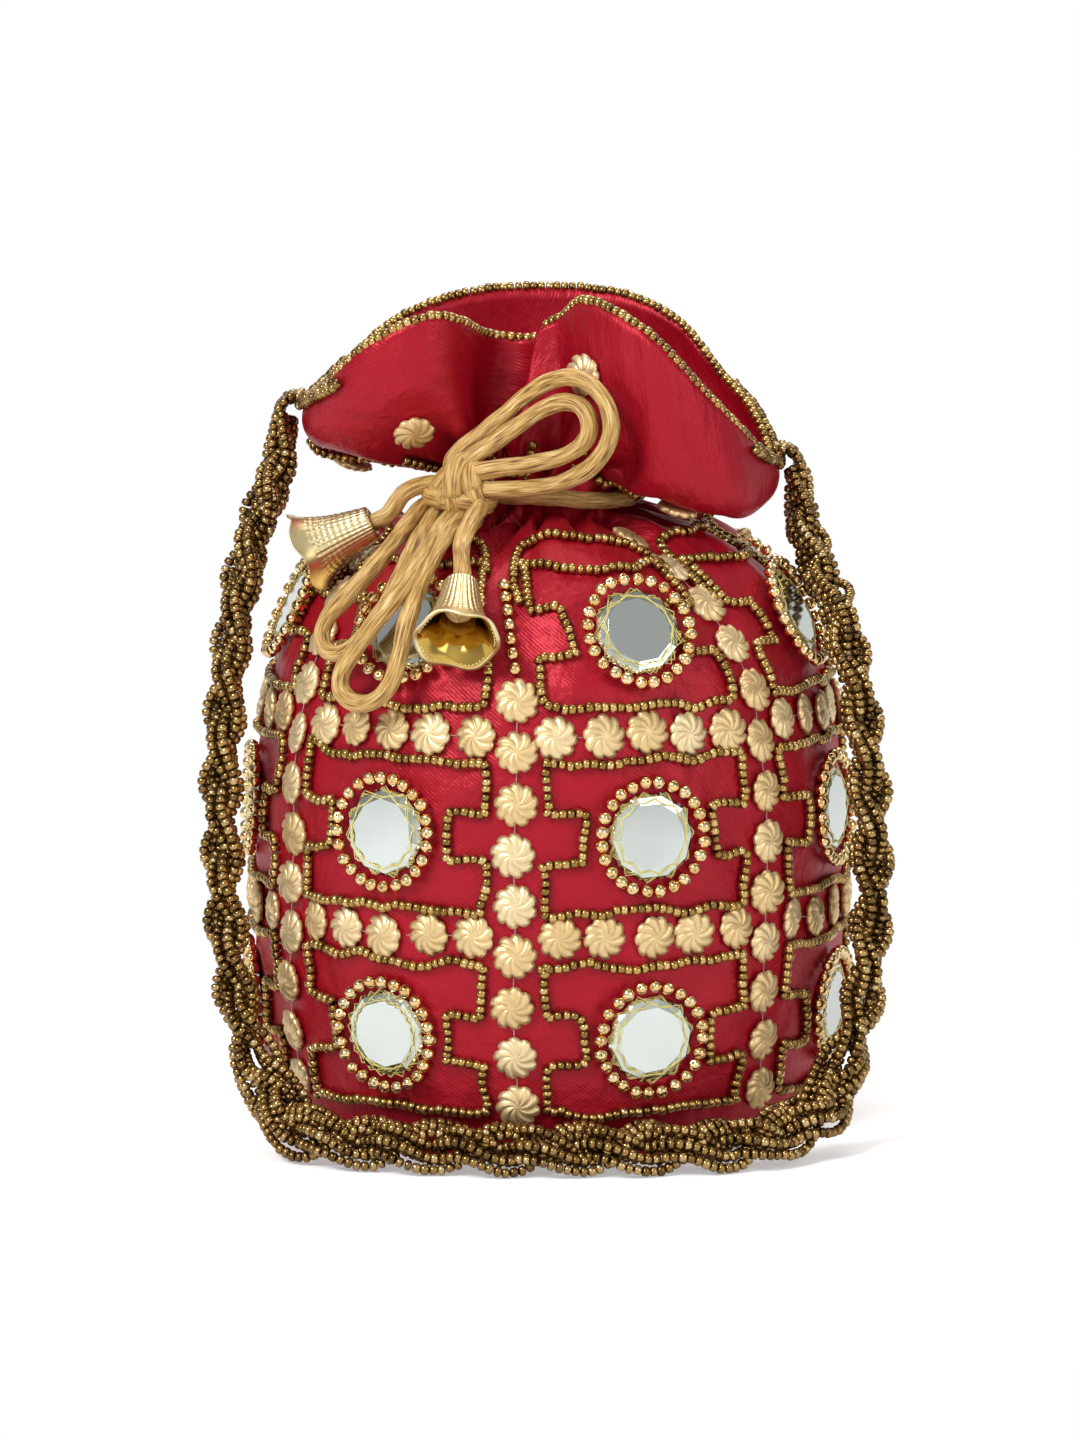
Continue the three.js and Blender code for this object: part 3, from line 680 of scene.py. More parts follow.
def frill_point(azimuth, rise, creased=True):
    """A point on the outside of the frill, by azimuth and the share of the way up to its rim."""
    share = ((azimuth - notch_azimuth) / 360) % 1
    rim = rim_at(share)
    start = outward(azimuth) * neck_radius
    start[..., 2] = neck_top
    spare = np.maximum(0, np.hypot(rim[..., 0], rim[..., 1]) - neck_radius)
    pinch = 1 - smoothstep(0, notch_width, np.minimum(share, 1 - share))
    sag = frill_sag * np.exp(-(((azimuth + 180) % 360 - 180 - sag_azimuth) / sag_spread) ** 2)
    first = start + outward(azimuth) * (0.4 * spare)[..., None]
    first[..., 2] += (2 + 6 * pinch) * mm
    second = rim * (1 + frill_bulge * (1 - pinch))[..., None]
    low = 0.06 + 0.49 * pinch
    second[..., 2] = neck_top + low * (rim[..., 2] - neck_top) - sag
    t = np.asarray(rise)[..., None]
    point = (start * (1 - t) ** 3 + 3 * first * t * (1 - t) ** 2
             + 3 * second * t**2 * (1 - t) + rim * t**3)
    if creased:
        above = -neck_height / 2 - rise * 52 * mm
        soft = np.sin(13 * np.radians(azimuth) + 2.2 + 2 * rise) * np.sin(math.pi * rise) * mm
        creases = pleats(azimuth, above) * smoothstep(0, 0.08, rise)
        creases = creases + frill_creases(azimuth, rise) + soft
        smooth = normal_of(lambda a, r: frill_point(a, r, creased=False), azimuth, rise, 0.01)
        point = point - smooth * creases[..., None]
    return point


def normal_of(surface, azimuth, along, step):
    """The outward normal of the cloth, from points a little way off on each side."""
    across = surface(azimuth + 0.8, along) - surface(azimuth - 0.8, along)
    up = surface(azimuth, along + step) - surface(azimuth, along - step)
    return unit(np.cross(across, up))


print("belly point", (wall_point(np.array(0.0), 77 * mm) / mm).round(1))

# %% [markdown]
# ## The pouch
# The bag is modelled as one shell, because that is what it is: a sheet with two sides. The
# outside follows the cloth's form. The inside is the same form moved in by the cloth's
# thickness, and at the neck, where all the pleats are packed together, it moves in as far as
# the narrow throat that is left open. The pleats are shaped by formula and not by a cloth
# simulation, so that each fold can be put where the photograph has it.

# %% Build the pouch
def pouch_grids(columns=252, wall_steps=96, frill_steps=44):
    azimuth = notch_azimuth + 360 * np.arange(columns) / columns
    around = lambda value: np.full(columns, value)
    outer, inner, run = [], [], []
    neck_wall = neck_radius - throat_radius

    def keep(surface, along, step, thick, where):
        outside = surface(azimuth, around(along))
        smooth = lambda a, s: surface(a, s, creased=False)
        inside = smooth(azimuth, around(along)) - normal_of(
            smooth, azimuth, around(along), step) * thick
        share = 1 - 0.6 * smoothstep(2 * cloth_wall, neck_wall, thick)
        inside += (outside - smooth(azimuth, around(along))) * share
        outer.append(outside)
        inner.append(inside)
        run.append(where)

    for way in np.linspace(0, wall_length, wall_steps):
        share = way / wall_length
        thick = cloth_wall + 0.55 * (neck_wall - cloth_wall) * smoothstep(0.87, 1, share)
        keep(wall_point, way, wall_off, thick, way)
    for rise in np.linspace(0.02, 1, frill_steps):
        thick = cloth_wall + 0.6 * (neck_wall - cloth_wall) * (1 - smoothstep(0, 0.26, rise))
        where = wall_length + neck_height + rise * (cloth_length - wall_length - neck_height)
        keep(frill_point, rise, frill_off, min(thick, 8 * mm), where)
    outer, inner = np.array(outer), np.array(inner)
    radius = np.linalg.norm(inner[..., :2], axis=-1, keepdims=True)
    inner[..., :2] *= np.maximum(radius, throat_radius) / radius
    inner[0, :, 2] = wall_foot
    return outer, inner, np.array(run) / cloth_length


outer, inner, run = pouch_grids()
pouch = loft("pouch_cloth", np.vstack([outer, inner[::-1]]), np.concatenate([run, run[::-1]]),
             red_satin, closed=True)
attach(pouch, "bag")
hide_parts("satin_pouch")
print("pouch", len(pouch.data.polygons), "faces")

# %% [markdown]
# ## The base
# Under the wall lies a stiff disc covered in the same satin, with a piped edge that shows as a
# thin red roll all round the foot of the bag.

# %% Base panel
def revolve(name, profile, sides, material, turned=None):
    """A closed body of revolution about Z. Profile points are radius and height."""
    angles = np.linspace(0, turn, sides, endpoint=False)
    rings = np.array([[(r * math.sin(a), -r * math.cos(a), z) for a in angles]
                      for r, z in profile])
    if turned is not None:
        rings = rings @ turned.T
    return loft(name, rings, np.linspace(0, 1, len(profile)), material)


piping_radius = 1.5 * mm
edge = base_radius + 0.4 * piping_radius - piping_radius
arc = np.linspace(-math.pi / 2, math.pi / 2, 13)
base_profile = [(0.02 * mm, 0), (0.5 * edge, 0), (0.97 * edge, 0)]
base_profile += [(edge + piping_radius * math.cos(a), piping_radius + piping_radius * math.sin(a))
                 for a in arc]
base_profile += [(0.97 * edge, 2.7 * mm), (0.02 * mm, 2.7 * mm)]
base_satin = satin("base_satin", turn * base_radius, 2 * base_radius)
base = revolve("base_cover", base_profile, 200, base_satin)
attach(base, "bag")
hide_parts("base_panel")
print("base", round(2 * base_radius / mm), "mm across")

# %% [markdown]
# ## Small shapes that repeat
# There are thousands of beads, so each kind is drawn once with few faces and Geometry Nodes set
# the copies. A seed bead is a short barrel with a dimple at each end. A round bead has its hole
# too. The flower bead is a disc of nine petals that turn like a windmill: each petal is a
# ridge that falls off steeply on one side.

# %% Bead shapes
def prototype(name, points, faces, hole_shade_marks=None):
    """A shape to copy. It is kept out of the scene, so that only its copies show."""
    mesh = bpy.data.meshes.new(name)
    mesh.from_pydata([tuple(p) for p in points], [], faces, shade_flat=False)
    # The hole attribute marks painted shade: the ends of a bead's hole are painted near black.
    depth = mesh.attributes.new("hole", "FLOAT", "POINT")
    for index, value in (hole_shade_marks or {}).items():
        depth.data[index].value = value
    return bpy.data.objects.new(name, mesh)


def turned_shape(name, profile, sides):
    """A prototype of revolution whose profile starts and ends on the axis."""
    angles = np.linspace(0, turn, sides, endpoint=False)
    points = [(0, 0, profile[0][1])]
    for radius, height in profile[1:-1]:
        points += [(radius * math.cos(a), radius * math.sin(a), height) for a in angles]
    points.append((0, 0, profile[-1][1]))
    faces = []
    rows = len(profile) - 2
    for k in range(sides):
        following = (k + 1) % sides
        faces.append((0, 1 + k, 1 + following))
        for row in range(rows - 1):
            first = 1 + row * sides
            faces.append((first + k, first + sides + k,
                          first + sides + following, first + following))
        last = 1 + (rows - 1) * sides
        faces.append((last + k, len(points) - 1, last + following))
    end = len(points) - 1
    # Painted shade: the poles and the rings next to them are marked dark, for the shade inside the
    # hole.
    lips = [*range(1, sides + 1), *range(end - sides, end)]
    return prototype(name, points, faces, hole_shade_marks={0: 1.0, end: 1.0, **dict.fromkeys(lips, 0.15)})


seed_radius = 1.3 * mm
seed_length = 1.85 * mm
seed_lift = 0.85 * seed_radius
seed_bead = turned_shape("seed_bead", [
    (0, 0.4 * seed_length), (0.6 * seed_radius, 0.5 * seed_length),
    (seed_radius, 0.28 * seed_length), (seed_radius, -0.28 * seed_length),
    (0.6 * seed_radius, -0.5 * seed_length), (0, -0.4 * seed_length)], 8)
round_radius = 1.72 * mm
round_bead = turned_shape("round_bead", [
    (0, 0.3 * round_radius), (0.2 * round_radius, 0.97 * round_radius),
    (0.6 * round_radius, 0.8 * round_radius), (0.93 * round_radius, 0.36 * round_radius),
    (0.93 * round_radius, -0.36 * round_radius), (0.6 * round_radius, -0.8 * round_radius),
    (0.2 * round_radius, -0.97 * round_radius), (0, -0.3 * round_radius)], 12)
dot = turned_shape("dot", [(0, 0.28 * mm), (0.24 * mm, 0.16 * mm), (0.32 * mm, -0.1 * mm),
                           (0, -0.2 * mm)], 6)
print("seed bead", len(seed_bead.data.polygons), "faces")


# %% The flower bead
def flower_shape(petals=9, per_petal=5, rings=5):
    """Petals like blades: each rises along its width and drops steeply to the next."""
    radius, dome, blade, groove = 5.6 * mm, 1.7 * mm, 0.6 * mm, 0.3 * mm
    count = petals * per_petal
    points = [(0, 0, dome + 0.1 * mm)]
    for ring in range(1, rings + 1):
        share = (ring / rings) ** 0.85
        for k in range(count):
            phase = (k % per_petal) / per_petal
            angle = turn * k / count + 0.9 * share
            tip = 1 - 0.15 * share ** 2 * (1 - math.sin(math.pi * phase) ** 0.6)
            step = blade * phase - groove * (phase == 0)
            height = dome * (1 - 0.7 * share ** 2.8) + step * min(1, 2.2 * share)
            points.append((radius * share * tip * math.cos(angle),
                           radius * share * tip * math.sin(angle), max(height, 0.2 * mm)))
    rim = len(points) - count
    under = [(0.9 * x, 0.9 * y, -0.35 * mm) for x, y, z in points[rim:]]
    points += under + [(0, 0, -0.5 * mm)]
    faces = []
    for k in range(count):
        following = (k + 1) % count
        faces.append((0, 1 + k, 1 + following))
        for ring in range(rings):
            first = 1 + ring * count
            faces.append((first + k, first + count + k,
                          first + count + following, first + following))
        faces.append((rim + count + k, len(points) - 1, rim + count + following))
    return prototype("flower_bead", points, faces)


flower_bead = flower_shape()
print("flower bead", len(flower_bead.data.polygons), "faces")

# %% [markdown]
# ## Geometry Nodes that sew
# Two trees set most of the trimmings. `bead_string` takes lines, spaces points along them and
# threads a bead on each, turned to the line and a little askew. `seated` takes points that know
# which way they face and sets a shape on each. A third, `thread`, gives a line a round section.
# In all of them the copies are made real and get their material last, because an instance
# would be lost in the export.

# %% Tree helpers
def new_tree(name, sizes):
    """A Geometry Nodes tree with named inputs. Returns its nodes and the inputs by name."""
    tree = bpy.data.node_groups.new(name, "GeometryNodeTree")
    face = tree.interface
    face.new_socket("Geometry", in_out="INPUT", socket_type="NodeSocketGeometry")
    for label, (kind, value) in sizes.items():
        socket = face.new_socket(label, in_out="INPUT", socket_type="NodeSocket" + kind)
        if value is not None:
            socket.default_value = value
    face.new_socket("Geometry", in_out="OUTPUT", socket_type="NodeSocketGeometry")
    nodes = Nodes(tree)
    given = nodes.add("NodeGroupInput", out="Geometry")
    return nodes, {"Geometry": given, **{label: given.out(label) for label in sizes}}


def close_tree(nodes, geometry, material):
    """Makes copies real, gives the material and ends the tree."""
    real = nodes.add("GeometryNodeRealizeInstances", values={"Geometry": geometry})
    painted = nodes.add("GeometryNodeSetMaterial", values={"Geometry": real, "Material": material})
    nodes.add("NodeGroupOutput", values={"Geometry": painted})
    return nodes.tree


def run_tree(made, tree, **sizes):
    """Puts a tree on an object, sets its inputs, and keeps the result as a plain mesh."""
    modifier = made.modifiers.new(tree.name, "NODES")
    modifier.node_group = tree
    for item in tree.interface.items_tree:
        key = item.name.replace(" ", "_")
        if item.in_out == "INPUT" and key in sizes:
            modifier[item.identifier] = sizes[key]
    depsgraph = bpy.context.evaluated_depsgraph_get()
    result = bpy.data.meshes.new_from_object(
        made.evaluated_get(depsgraph), preserve_all_data_layers=True, depsgraph=depsgraph)
    made.modifiers.remove(modifier)
    made.data = result
    return made


def random_value(nodes, kind, low, high, seed):
    values = {"Min": low, "Max": high, "Seed": seed}
    return nodes.add("FunctionNodeRandomValue", {"data_type": kind}, values)


def thread_beads(nodes, line, bead, pitch, askew, uneven, seed):
    """Beads along a curve, each with a tone, turned to the line and a little askew."""
    own_pitch = pitch * random_value(nodes, "FLOAT", 0.97, 1.03, seed + 4)
    spaced = nodes.add("GeometryNodeResampleCurve", {"mode": "LENGTH"},
                       {"Curve": line, "Length": own_pitch})
    drift = random_value(nodes, "FLOAT_VECTOR", (-1, -1, -1), (1, 1, 1), seed)
    moved = nodes.add("GeometryNodeSetPosition", values={
        "Geometry": spaced, "Offset": nodes.scaled(drift, askew)})
    tangent = nodes.add("GeometryNodeInputTangent")
    pointing = nodes.add("FunctionNodeAlignRotationToVector", {"axis": "Z"}, {"Vector": tangent})
    tilt = random_value(nodes, "FLOAT_VECTOR", (-0.16, -0.16, -3), (0.16, 0.16, 3), seed + 1)
    tilted = nodes.add("FunctionNodeRotateRotation", {"rotation_space": "LOCAL"}, {
        "Rotation": pointing, "Rotate By": nodes.add("FunctionNodeEulerToRotation", values={
            "Euler": tilt})})
    wobble = random_value(nodes, "FLOAT_VECTOR", (-1, -1, -1), (0.4, 0.4, 1.2), seed + 2)
    size = nodes.vector("ADD", (1, 1, 1), nodes.scaled(wobble, uneven))
    shape = nodes.add("GeometryNodeObjectInfo", values={"Object": bead}, out="Geometry")
    beads = nodes.add("GeometryNodeInstanceOnPoints", values={
        "Points": moved, "Instance": shape, "Rotation": tilted, "Scale": size})
    tone = random_value(nodes, "FLOAT", 0.0, 1.0, seed + 3)
    return nodes.add("GeometryNodeStoreNamedAttribute", {
        "data_type": "FLOAT", "domain": "INSTANCE"}, {
        "Geometry": beads, "Name": "tone", "Value": tone})


print("tree helpers ready")

# %% The trees
bead_sizes = {"Bead": ("Object", None), "Pitch": ("Float", 2 * mm), "Askew": ("Float", 0.1 * mm),
              "Uneven": ("Float", 0.1), "Seed": ("Int", 1), "Material": ("Material", None)}
nodes, given = new_tree("bead_string", bead_sizes)
line = nodes.add("GeometryNodeMeshToCurve", values={"Mesh": given["Geometry"]})
beads = thread_beads(nodes, line, given["Bead"], given["Pitch"], given["Askew"],
                     given["Uneven"], given["Seed"])
bead_string = close_tree(nodes, beads, given["Material"])

nodes, given = new_tree("seated", {"Shape": ("Object", None), "Uneven": ("Float", 0.05),
                                   "Seed": ("Int", 1), "Material": ("Material", None)})
facing = nodes.add("GeometryNodeInputNamedAttribute", {"data_type": "FLOAT_VECTOR"},
                   {"Name": "facing"}, out="Attribute")
pointing = nodes.add("FunctionNodeAlignRotationToVector", {"axis": "Z"}, {"Vector": facing})
spin = nodes.add("FunctionNodeAxisAngleToRotation", values={
    "Axis": (0, 0, 1), "Angle": random_value(nodes, "FLOAT", -3.0, 3.0, given["Seed"])})
turned = nodes.add("FunctionNodeRotateRotation", {"rotation_space": "LOCAL"}, {
    "Rotation": pointing, "Rotate By": spin})
shape = nodes.add("GeometryNodeObjectInfo", values={"Object": given["Shape"]}, out="Geometry")
points = nodes.add("GeometryNodeMeshToPoints", values={"Mesh": given["Geometry"]})
size = random_value(nodes, "FLOAT", 1 - given["Uneven"], 1.0, given["Seed"] + 1)
copies = nodes.add("GeometryNodeInstanceOnPoints", values={
    "Points": points, "Instance": shape, "Rotation": turned, "Scale": size})
toned = nodes.add("GeometryNodeStoreNamedAttribute", {"data_type": "FLOAT", "domain": "INSTANCE"},
                  {"Geometry": copies, "Name": "tone",
                   "Value": random_value(nodes, "FLOAT", 0.0, 1.0, given["Seed"] + 2)})
seated = close_tree(nodes, toned, given["Material"])

nodes, given = new_tree("thread", {"Radius": ("Float", 0.15 * mm), "Material": ("Material", None)})
line = nodes.add("GeometryNodeMeshToCurve", values={"Mesh": given["Geometry"]})
section = nodes.add("GeometryNodeCurvePrimitiveCircle", values={
    "Resolution": 5, "Radius": given["Radius"]}, out="Curve")
tube = nodes.add("GeometryNodeCurveToMesh", values={
    "Curve": line, "Profile Curve": section, "Fill Caps": True})
thread = close_tree(nodes, tube, given["Material"])
print("trees:", bead_string.name, seated.name, thread.name)


# %% Lines and points for the trees
def lines_object(name, lines, loops=False):
    """Lines as a mesh of edges. Each line is a list of points."""
    points, edges = [], []
    for line in lines:
        first = len(points)
        points += [tuple(p) for p in line]
        edges += [(first + k, first + k + 1) for k in range(len(line) - 1)]
        if loops:
            edges.append((first + len(line) - 1, first))
    mesh = bpy.data.meshes.new(name)
    mesh.from_pydata(points, edges, [])
    made = bpy.data.objects.new(name, mesh)
    bpy.context.scene.collection.objects.link(made)
    return made


def points_object(name, places, facings):
    """Points that each know which way they face."""
    mesh = bpy.data.meshes.new(name)
    mesh.from_pydata([tuple(p) for p in places], [], [])
    attribute = mesh.attributes.new("facing", "FLOAT_VECTOR", "POINT")
    attribute.data.foreach_set("vector", np.asarray(facings, np.float32).ravel())
    made = bpy.data.objects.new(name, mesh)
    bpy.context.scene.collection.objects.link(made)
    return made


def sewn(made, slot, *replaced, body="bag"):
    """Hangs a finished piece on the body it rides on and hides the imported parts it stands for. The
    slot is not used.
    """
    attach(made, body)
    if replaced:
        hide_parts(*replaced)
    print(made.name, len(made.data.polygons), "faces")


def strung(name, lines, pitch, askew, seed, material, *replaced, bead=seed_bead, uneven=0.12,
           loops=False, slot="bronze_beads", body="bag"):
    """Beads strung along lines, as one finished piece."""
    made = run_tree(lines_object(name, lines, loops), bead_string, Bead=bead, Pitch=pitch,
                    Askew=askew, Uneven=uneven, Seed=seed, Material=material)
    sewn(made, slot, *replaced, body=body)


def set_down(name, places, facings, shape, seed, material, slot, *replaced, uneven=0.0):
    """Copies of a shape, one at each place, as one finished piece."""
    made = run_tree(points_object(name, places, facings), seated, Shape=shape, Uneven=uneven,
                    Seed=seed, Material=material)
    sewn(made, slot, *replaced)


def stitched(name, lines, radius, material, slot, loops=False):
    """Thread along lines, as one finished piece."""
    made = run_tree(lines_object(name, lines, loops), thread, Radius=radius, Material=material)
    sewn(made, slot)


random = np.random.default_rng(11)
print("random numbers are seeded")

# %% [markdown]
# ## Mirror work
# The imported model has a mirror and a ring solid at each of 21 places, so the places are read
# from it. Each mirror is cut glass: a silvered face inside a bevelled edge of ten facets, a
# little duller than the face. Pale metal thread zigzags over the bevel and holds it, and round
# gold beads stand close about it.

# %% Mirror places
mirror_nodes = sorted(n for n in frame["nodes"] if n.startswith("mirror_"))
ring_nodes = sorted(n for n in frame["nodes"] if n.startswith("bead_ring_"))


def seat_of(node):
    """The middle of a mirror's back and the way it faces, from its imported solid."""
    points = np.array([v.co for v in frame["nodes"][node].data.vertices])
    middle = (points.max(0) + points.min(0)) / 2
    normal = np.linalg.svd(points - points.mean(0))[2][-1]
    normal *= np.sign(normal @ (middle * (1, 1, 0)))
    depth = (points - middle) @ normal
    return middle + normal * depth.min(), normal


seats = [seat_of(node) for node in mirror_nodes]
mirror_radius = 10 * mm
mirror_thickness = 1.8 * mm
facets = 10
print(len(seats), "mirrors")


# %% Mirrors
def side_directions(normal):
    """Two directions across a face: level, and up the cloth."""
    level = unit(np.cross((0, 0, 1), normal))
    return level, np.cross(normal, level)


def mirror_shapes():
    """The silvered face, and the bevelled edge round it with its facets."""
    angles = np.linspace(0, turn, facets, endpoint=False)
    face_radius, glass_radius = 8.1 * mm, mirror_radius + 0.8 * mm
    top, waist = mirror_thickness, 0.6 * mm
    ring = lambda r, z: [(r * math.cos(a), r * math.sin(a), z) for a in angles]
    disc = ring(face_radius, top) + ring(face_radius, top - 0.3 * mm)
    faces = [tuple(range(facets)), tuple(range(2 * facets - 1, facets - 1, -1))]
    faces += [(k, k + facets, (k + 1) % facets + facets, (k + 1) % facets) for k in range(facets)]
    mesh = bpy.data.meshes.new("mirror_face")
    mesh.from_pydata(disc, [], faces)
    silver = bpy.data.objects.new("mirror_face", mesh)
    rings = [ring(face_radius, top - 0.05 * mm), ring(glass_radius - 0.8 * mm, 1.35 * mm),
             ring(glass_radius, waist), ring(glass_radius, 0), ring(face_radius, 0)]
    points = [p for level in rings for p in level]
    faces = []
    for row in range(len(rings)):
        following = (row + 1) % len(rings)
        for k in range(facets):
            side = (k + 1) % facets
            faces.append((row * facets + k, following * facets + k,
                          following * facets + side, row * facets + side))
    mesh = bpy.data.meshes.new("mirror_bevel")
    mesh.from_pydata(points, [], faces)
    return silver, bpy.data.objects.new("mirror_bevel", mesh)


mirror_face, mirror_bevel = mirror_shapes()
places, facings = [s[0] for s in seats], [s[1] for s in seats]
set_down("mirror_faces", places, facings, mirror_face, 3, silver_face, "mirror", *mirror_nodes)
set_down("mirror_bevels", places, facings, mirror_bevel, 3, glass_edge, "mirror")


# %% Thread over the bevels
def star_line(seat, normal, points=11, skip=2):
    """A closed star of thread: over the bevel from one stitch to the next but one."""
    level, up = side_directions(normal)
    turned = random.uniform(0, turn)
    line = []
    for k in range(points):
        for share, radius, rise in ((0, 11.0 * mm, 0.6 * mm), (0.5, 8.3 * mm, 2.05 * mm)):
            radius = radius + random.uniform(-0.25, 0.25) * mm
            angle = turned + turn * (k + share) * skip / points
            line.append(seat + radius * (math.cos(angle) * level + math.sin(angle) * up)
                        + normal * rise)
    return line


stars = [star_line(seat, normal) for seat, normal in seats for repeat in range(2)]
stitched("mirror_thread", stars, 0.16 * mm, zari, "gold_cord", loops=True)


# %% Rings of round beads
ring_beads = 24
ring_radius = mirror_radius + 1.4 * mm + round_radius
ring_places, ring_facings = [], []
for seat, normal in seats:
    level, up = side_directions(normal)
    first = random.uniform(0, 1)
    for k in range(ring_beads):
        angle = turn * (k + random.uniform(-0.07, 0.07)) / ring_beads + first
        radius = ring_radius + random.uniform(-0.2, 0.2) * mm
        out = math.cos(angle) * level + math.sin(angle) * up
        ring_places.append(seat + radius * out + normal * 1.5 * mm)
        tilted = normal + random.uniform(-0.8, 0.8, 3) + 0.3 * out
        ring_facings.append(unit(tilted))
set_down("mirror_bead_rings", ring_places, ring_facings, round_bead, 20, gold, "gold_beads",
         *ring_nodes, uneven=0.07)

# %% [markdown]
# ## Seed bead outlines
# A stepped outline of bronze seed beads frames every mirror, and an arch of the same beads
# closes each fold below the neck. They were drawn flat and sewn to the flat cloth, so they are
# laid out here in the cloth's own measures, across and up, and `on_wall` puts them on the bag.

# %% Outlines
line_step = 1.5 * mm


def on_wall(points, azimuth, way, lift):
    """Flat points, across and up from a place on the wall, laid on the cloth."""
    points = np.asarray(points, float)
    ways = way + points[:, 1]
    azimuths = azimuth + np.degrees(points[:, 0] / belly_radius) - twist_at(ways)
    normals = normal_of(wall_point, azimuths, ways, wall_off)
    return wall_point(azimuths, ways) + normals * lift


def wobbly(line, amount):
    """A hand-sewn line: close points that stray a little together."""
    line = evenly(np.asarray(line, float), line_step)
    stray = random.normal(0, 1, (len(line) + 8, line.shape[1]))
    kernel = np.hanning(9) / np.hanning(9).sum()
    soft = np.stack([np.convolve(stray[:, k], kernel, "valid") for k in range(line.shape[1])], 1)
    return line + soft * amount


half_width, half_height = 25.5 * mm, 18 * mm
step_in, step_half = 16 * mm, 5.8 * mm
corners = [(-half_width, half_height), (half_width, half_height), (half_width, step_half),
           (step_in, step_half), (step_in, -step_half), (half_width, -step_half),
           (half_width, -half_height), (-half_width, -half_height), (-half_width, -step_half),
           (-step_in, -step_half), (-step_in, step_half), (-half_width, step_half),
           (-half_width, half_height)]
arch_offsets = [(-22, 134), (-22.5, 141), (-20, 149), (-13, 154.5), (-4, 156.5), (5, 156),
                (14, 153.5), (19, 148), (21, 141)]
outlines = []
columns = [first_column + fold_angle * k for k in range(fold_count)]
for way in mirror_rows:
    for column in columns:
        outlines.append(on_wall(wobbly(corners, 1.1 * mm), column + fold_angle / 2, way,
                                seed_lift))
for column in columns:
    arch = [(math.radians(offset) * belly_radius, height * mm) for offset, height in arch_offsets]
    outlines.append(on_wall(wobbly(smooth_line(arch), 0.8 * mm), column + fold_angle / 2, 0,
                            seed_lift))
seed_pitch = 1.92 * mm
strung("seed_bead_outlines", outlines, seed_pitch, 0.14 * mm, 40, outline_bronze)

# %% [markdown]
# ## Flower beads
# Nine flower beads climb each seam between two mirrors and five cross each panel between two
# rows, all held by a pale thread that shows between them. Above the shoulder most seams go on
# with four more, but the one at the front ends in small round beads. Seven sit on the frill.

# %% Flower beads
flower_lift = 0.5 * mm
flower_places, flower_facings, thread_lines = [], [], []


def sew_flower(surface, azimuth, along, step, lift=flower_lift):
    azimuth, along = np.array(float(azimuth)), np.array(float(along))
    normal = normal_of(surface, azimuth, along, step)
    askew = normal + random.uniform(-0.09, 0.09, 3)
    place = surface(azimuth, along) + normal * lift
    flower_places.append(place)
    flower_facings.append(unit(askew))
    return place + normal * 0.3 * mm


seam_ways = 12 * mm + 12.2 * mm * np.arange(9)
upper_ways = 121 * mm + 10.5 * mm * np.arange(4)
round_pitch = 3.4 * mm
round_ways = 117 * mm + round_pitch * np.arange(7)
for index, column in enumerate(columns):
    ways = seam_ways if index == 0 else np.concatenate([seam_ways, upper_ways])
    sewn_at = []
    for way in ways:
        stray = random.uniform(-0.6, 0.6)
        sewn_at.append(sew_flower(wall_point, column + stray - twist_at(way), way, wall_off))
    thread_lines.append(sewn_at)
    for way in flower_rows:
        across = []
        for place in range(5):
            azimuth = column + fold_angle / 2 + (place - 2) * 8.9 + random.uniform(-0.5, 0.5)
            across.append(sew_flower(wall_point, azimuth, way + random.uniform(-0.8, 0.8) * mm,
                                     wall_off))
        thread_lines.append(across)
for azimuth, rise in ((-55, 0.52), (5, 0.8), (50, 0.42), (110, 0.55), (160, 0.6),
                      (212, 0.6), (262, 0.5)):
    sew_flower(frill_point, azimuth, rise, frill_off)
set_down("flower_beads", flower_places, flower_facings, flower_bead, 60, flower_gold,
         "gold_beads", uneven=0.08)

# %% Front seam beads and the thread
round_places = on_wall([(0, way) for way in round_ways], columns[0], 0, 0.8 * round_radius)
strung("front_seam_beads", [round_places], round_pitch, 0.1 * mm, 80, gold, bead=round_bead,
       uneven=0.05, slot="gold_beads")
stitched("sewing_threads", thread_lines, 0.12 * mm, sewing, "gold_cord")

# %% [markdown]
# ## The frill's edge
# A string of seed beads runs all round the rim of the frill. Small bows of the same beads hang
# below it on the outside, close above the drawstring.

# %% Rim and frill beads
rim_steps = 400
rim_azimuths = notch_azimuth + 360 * np.linspace(0, 1, rim_steps, endpoint=False)
rim_outer = frill_point(rim_azimuths, np.ones(rim_steps))
rim_below = frill_point(rim_azimuths, np.full(rim_steps, 0.96))
rising = unit(rim_outer - rim_below)
inward = -normal_of(frill_point, rim_azimuths, np.full(rim_steps, 0.97), frill_off)
tucked = np.exp(-((rim_azimuths - notch_azimuth - 8) / 9) ** 2)[:, None]
rim_beads_line = rim_outer + rising * 0.4 * mm + inward * (0.8 + 2.4 * tucked) * mm
strung("rim_bead_string", [rim_beads_line], 1.98 * mm, 0.12 * mm, 90, outline_bronze,
       "rim_beading", loops=True)


def on_frill(points, lift=seed_lift):
    """Azimuth and rise pairs laid on the outside of the frill."""
    points = np.asarray(points, float)
    normals = normal_of(frill_point, points[:, 0], points[:, 1], frill_off)
    return frill_point(points[:, 0], points[:, 1]) + normals * lift


bow_shape = [(-11, 0.36), (-11, 0.24), (-7, 0.15), (0, 0.12), (7, 0.15), (11, 0.24), (11, 0.36)]
frill_lines = []
for k in range(fold_count):
    middle = 24 + fold_angle * k
    points = smooth_line([(middle + offset, rise) for offset, rise in bow_shape])
    frill_lines.append(evenly(on_frill(points), line_step))
front_line = smooth_line([(-23, 0.22), (-14, 0.26), (-4, 0.32), (10, 0.5)])
frill_lines.append(evenly(on_frill(front_line), line_step))
left_line = smooth_line([(-98, 0.74), (-92, 0.6), (-88, 0.42), (-82, 0.2)])
frill_lines.append(evenly(on_frill(left_line), line_step))
strung("frill_bead_bows", frill_lines, seed_pitch, 0.12 * mm, 100, outline_bronze)

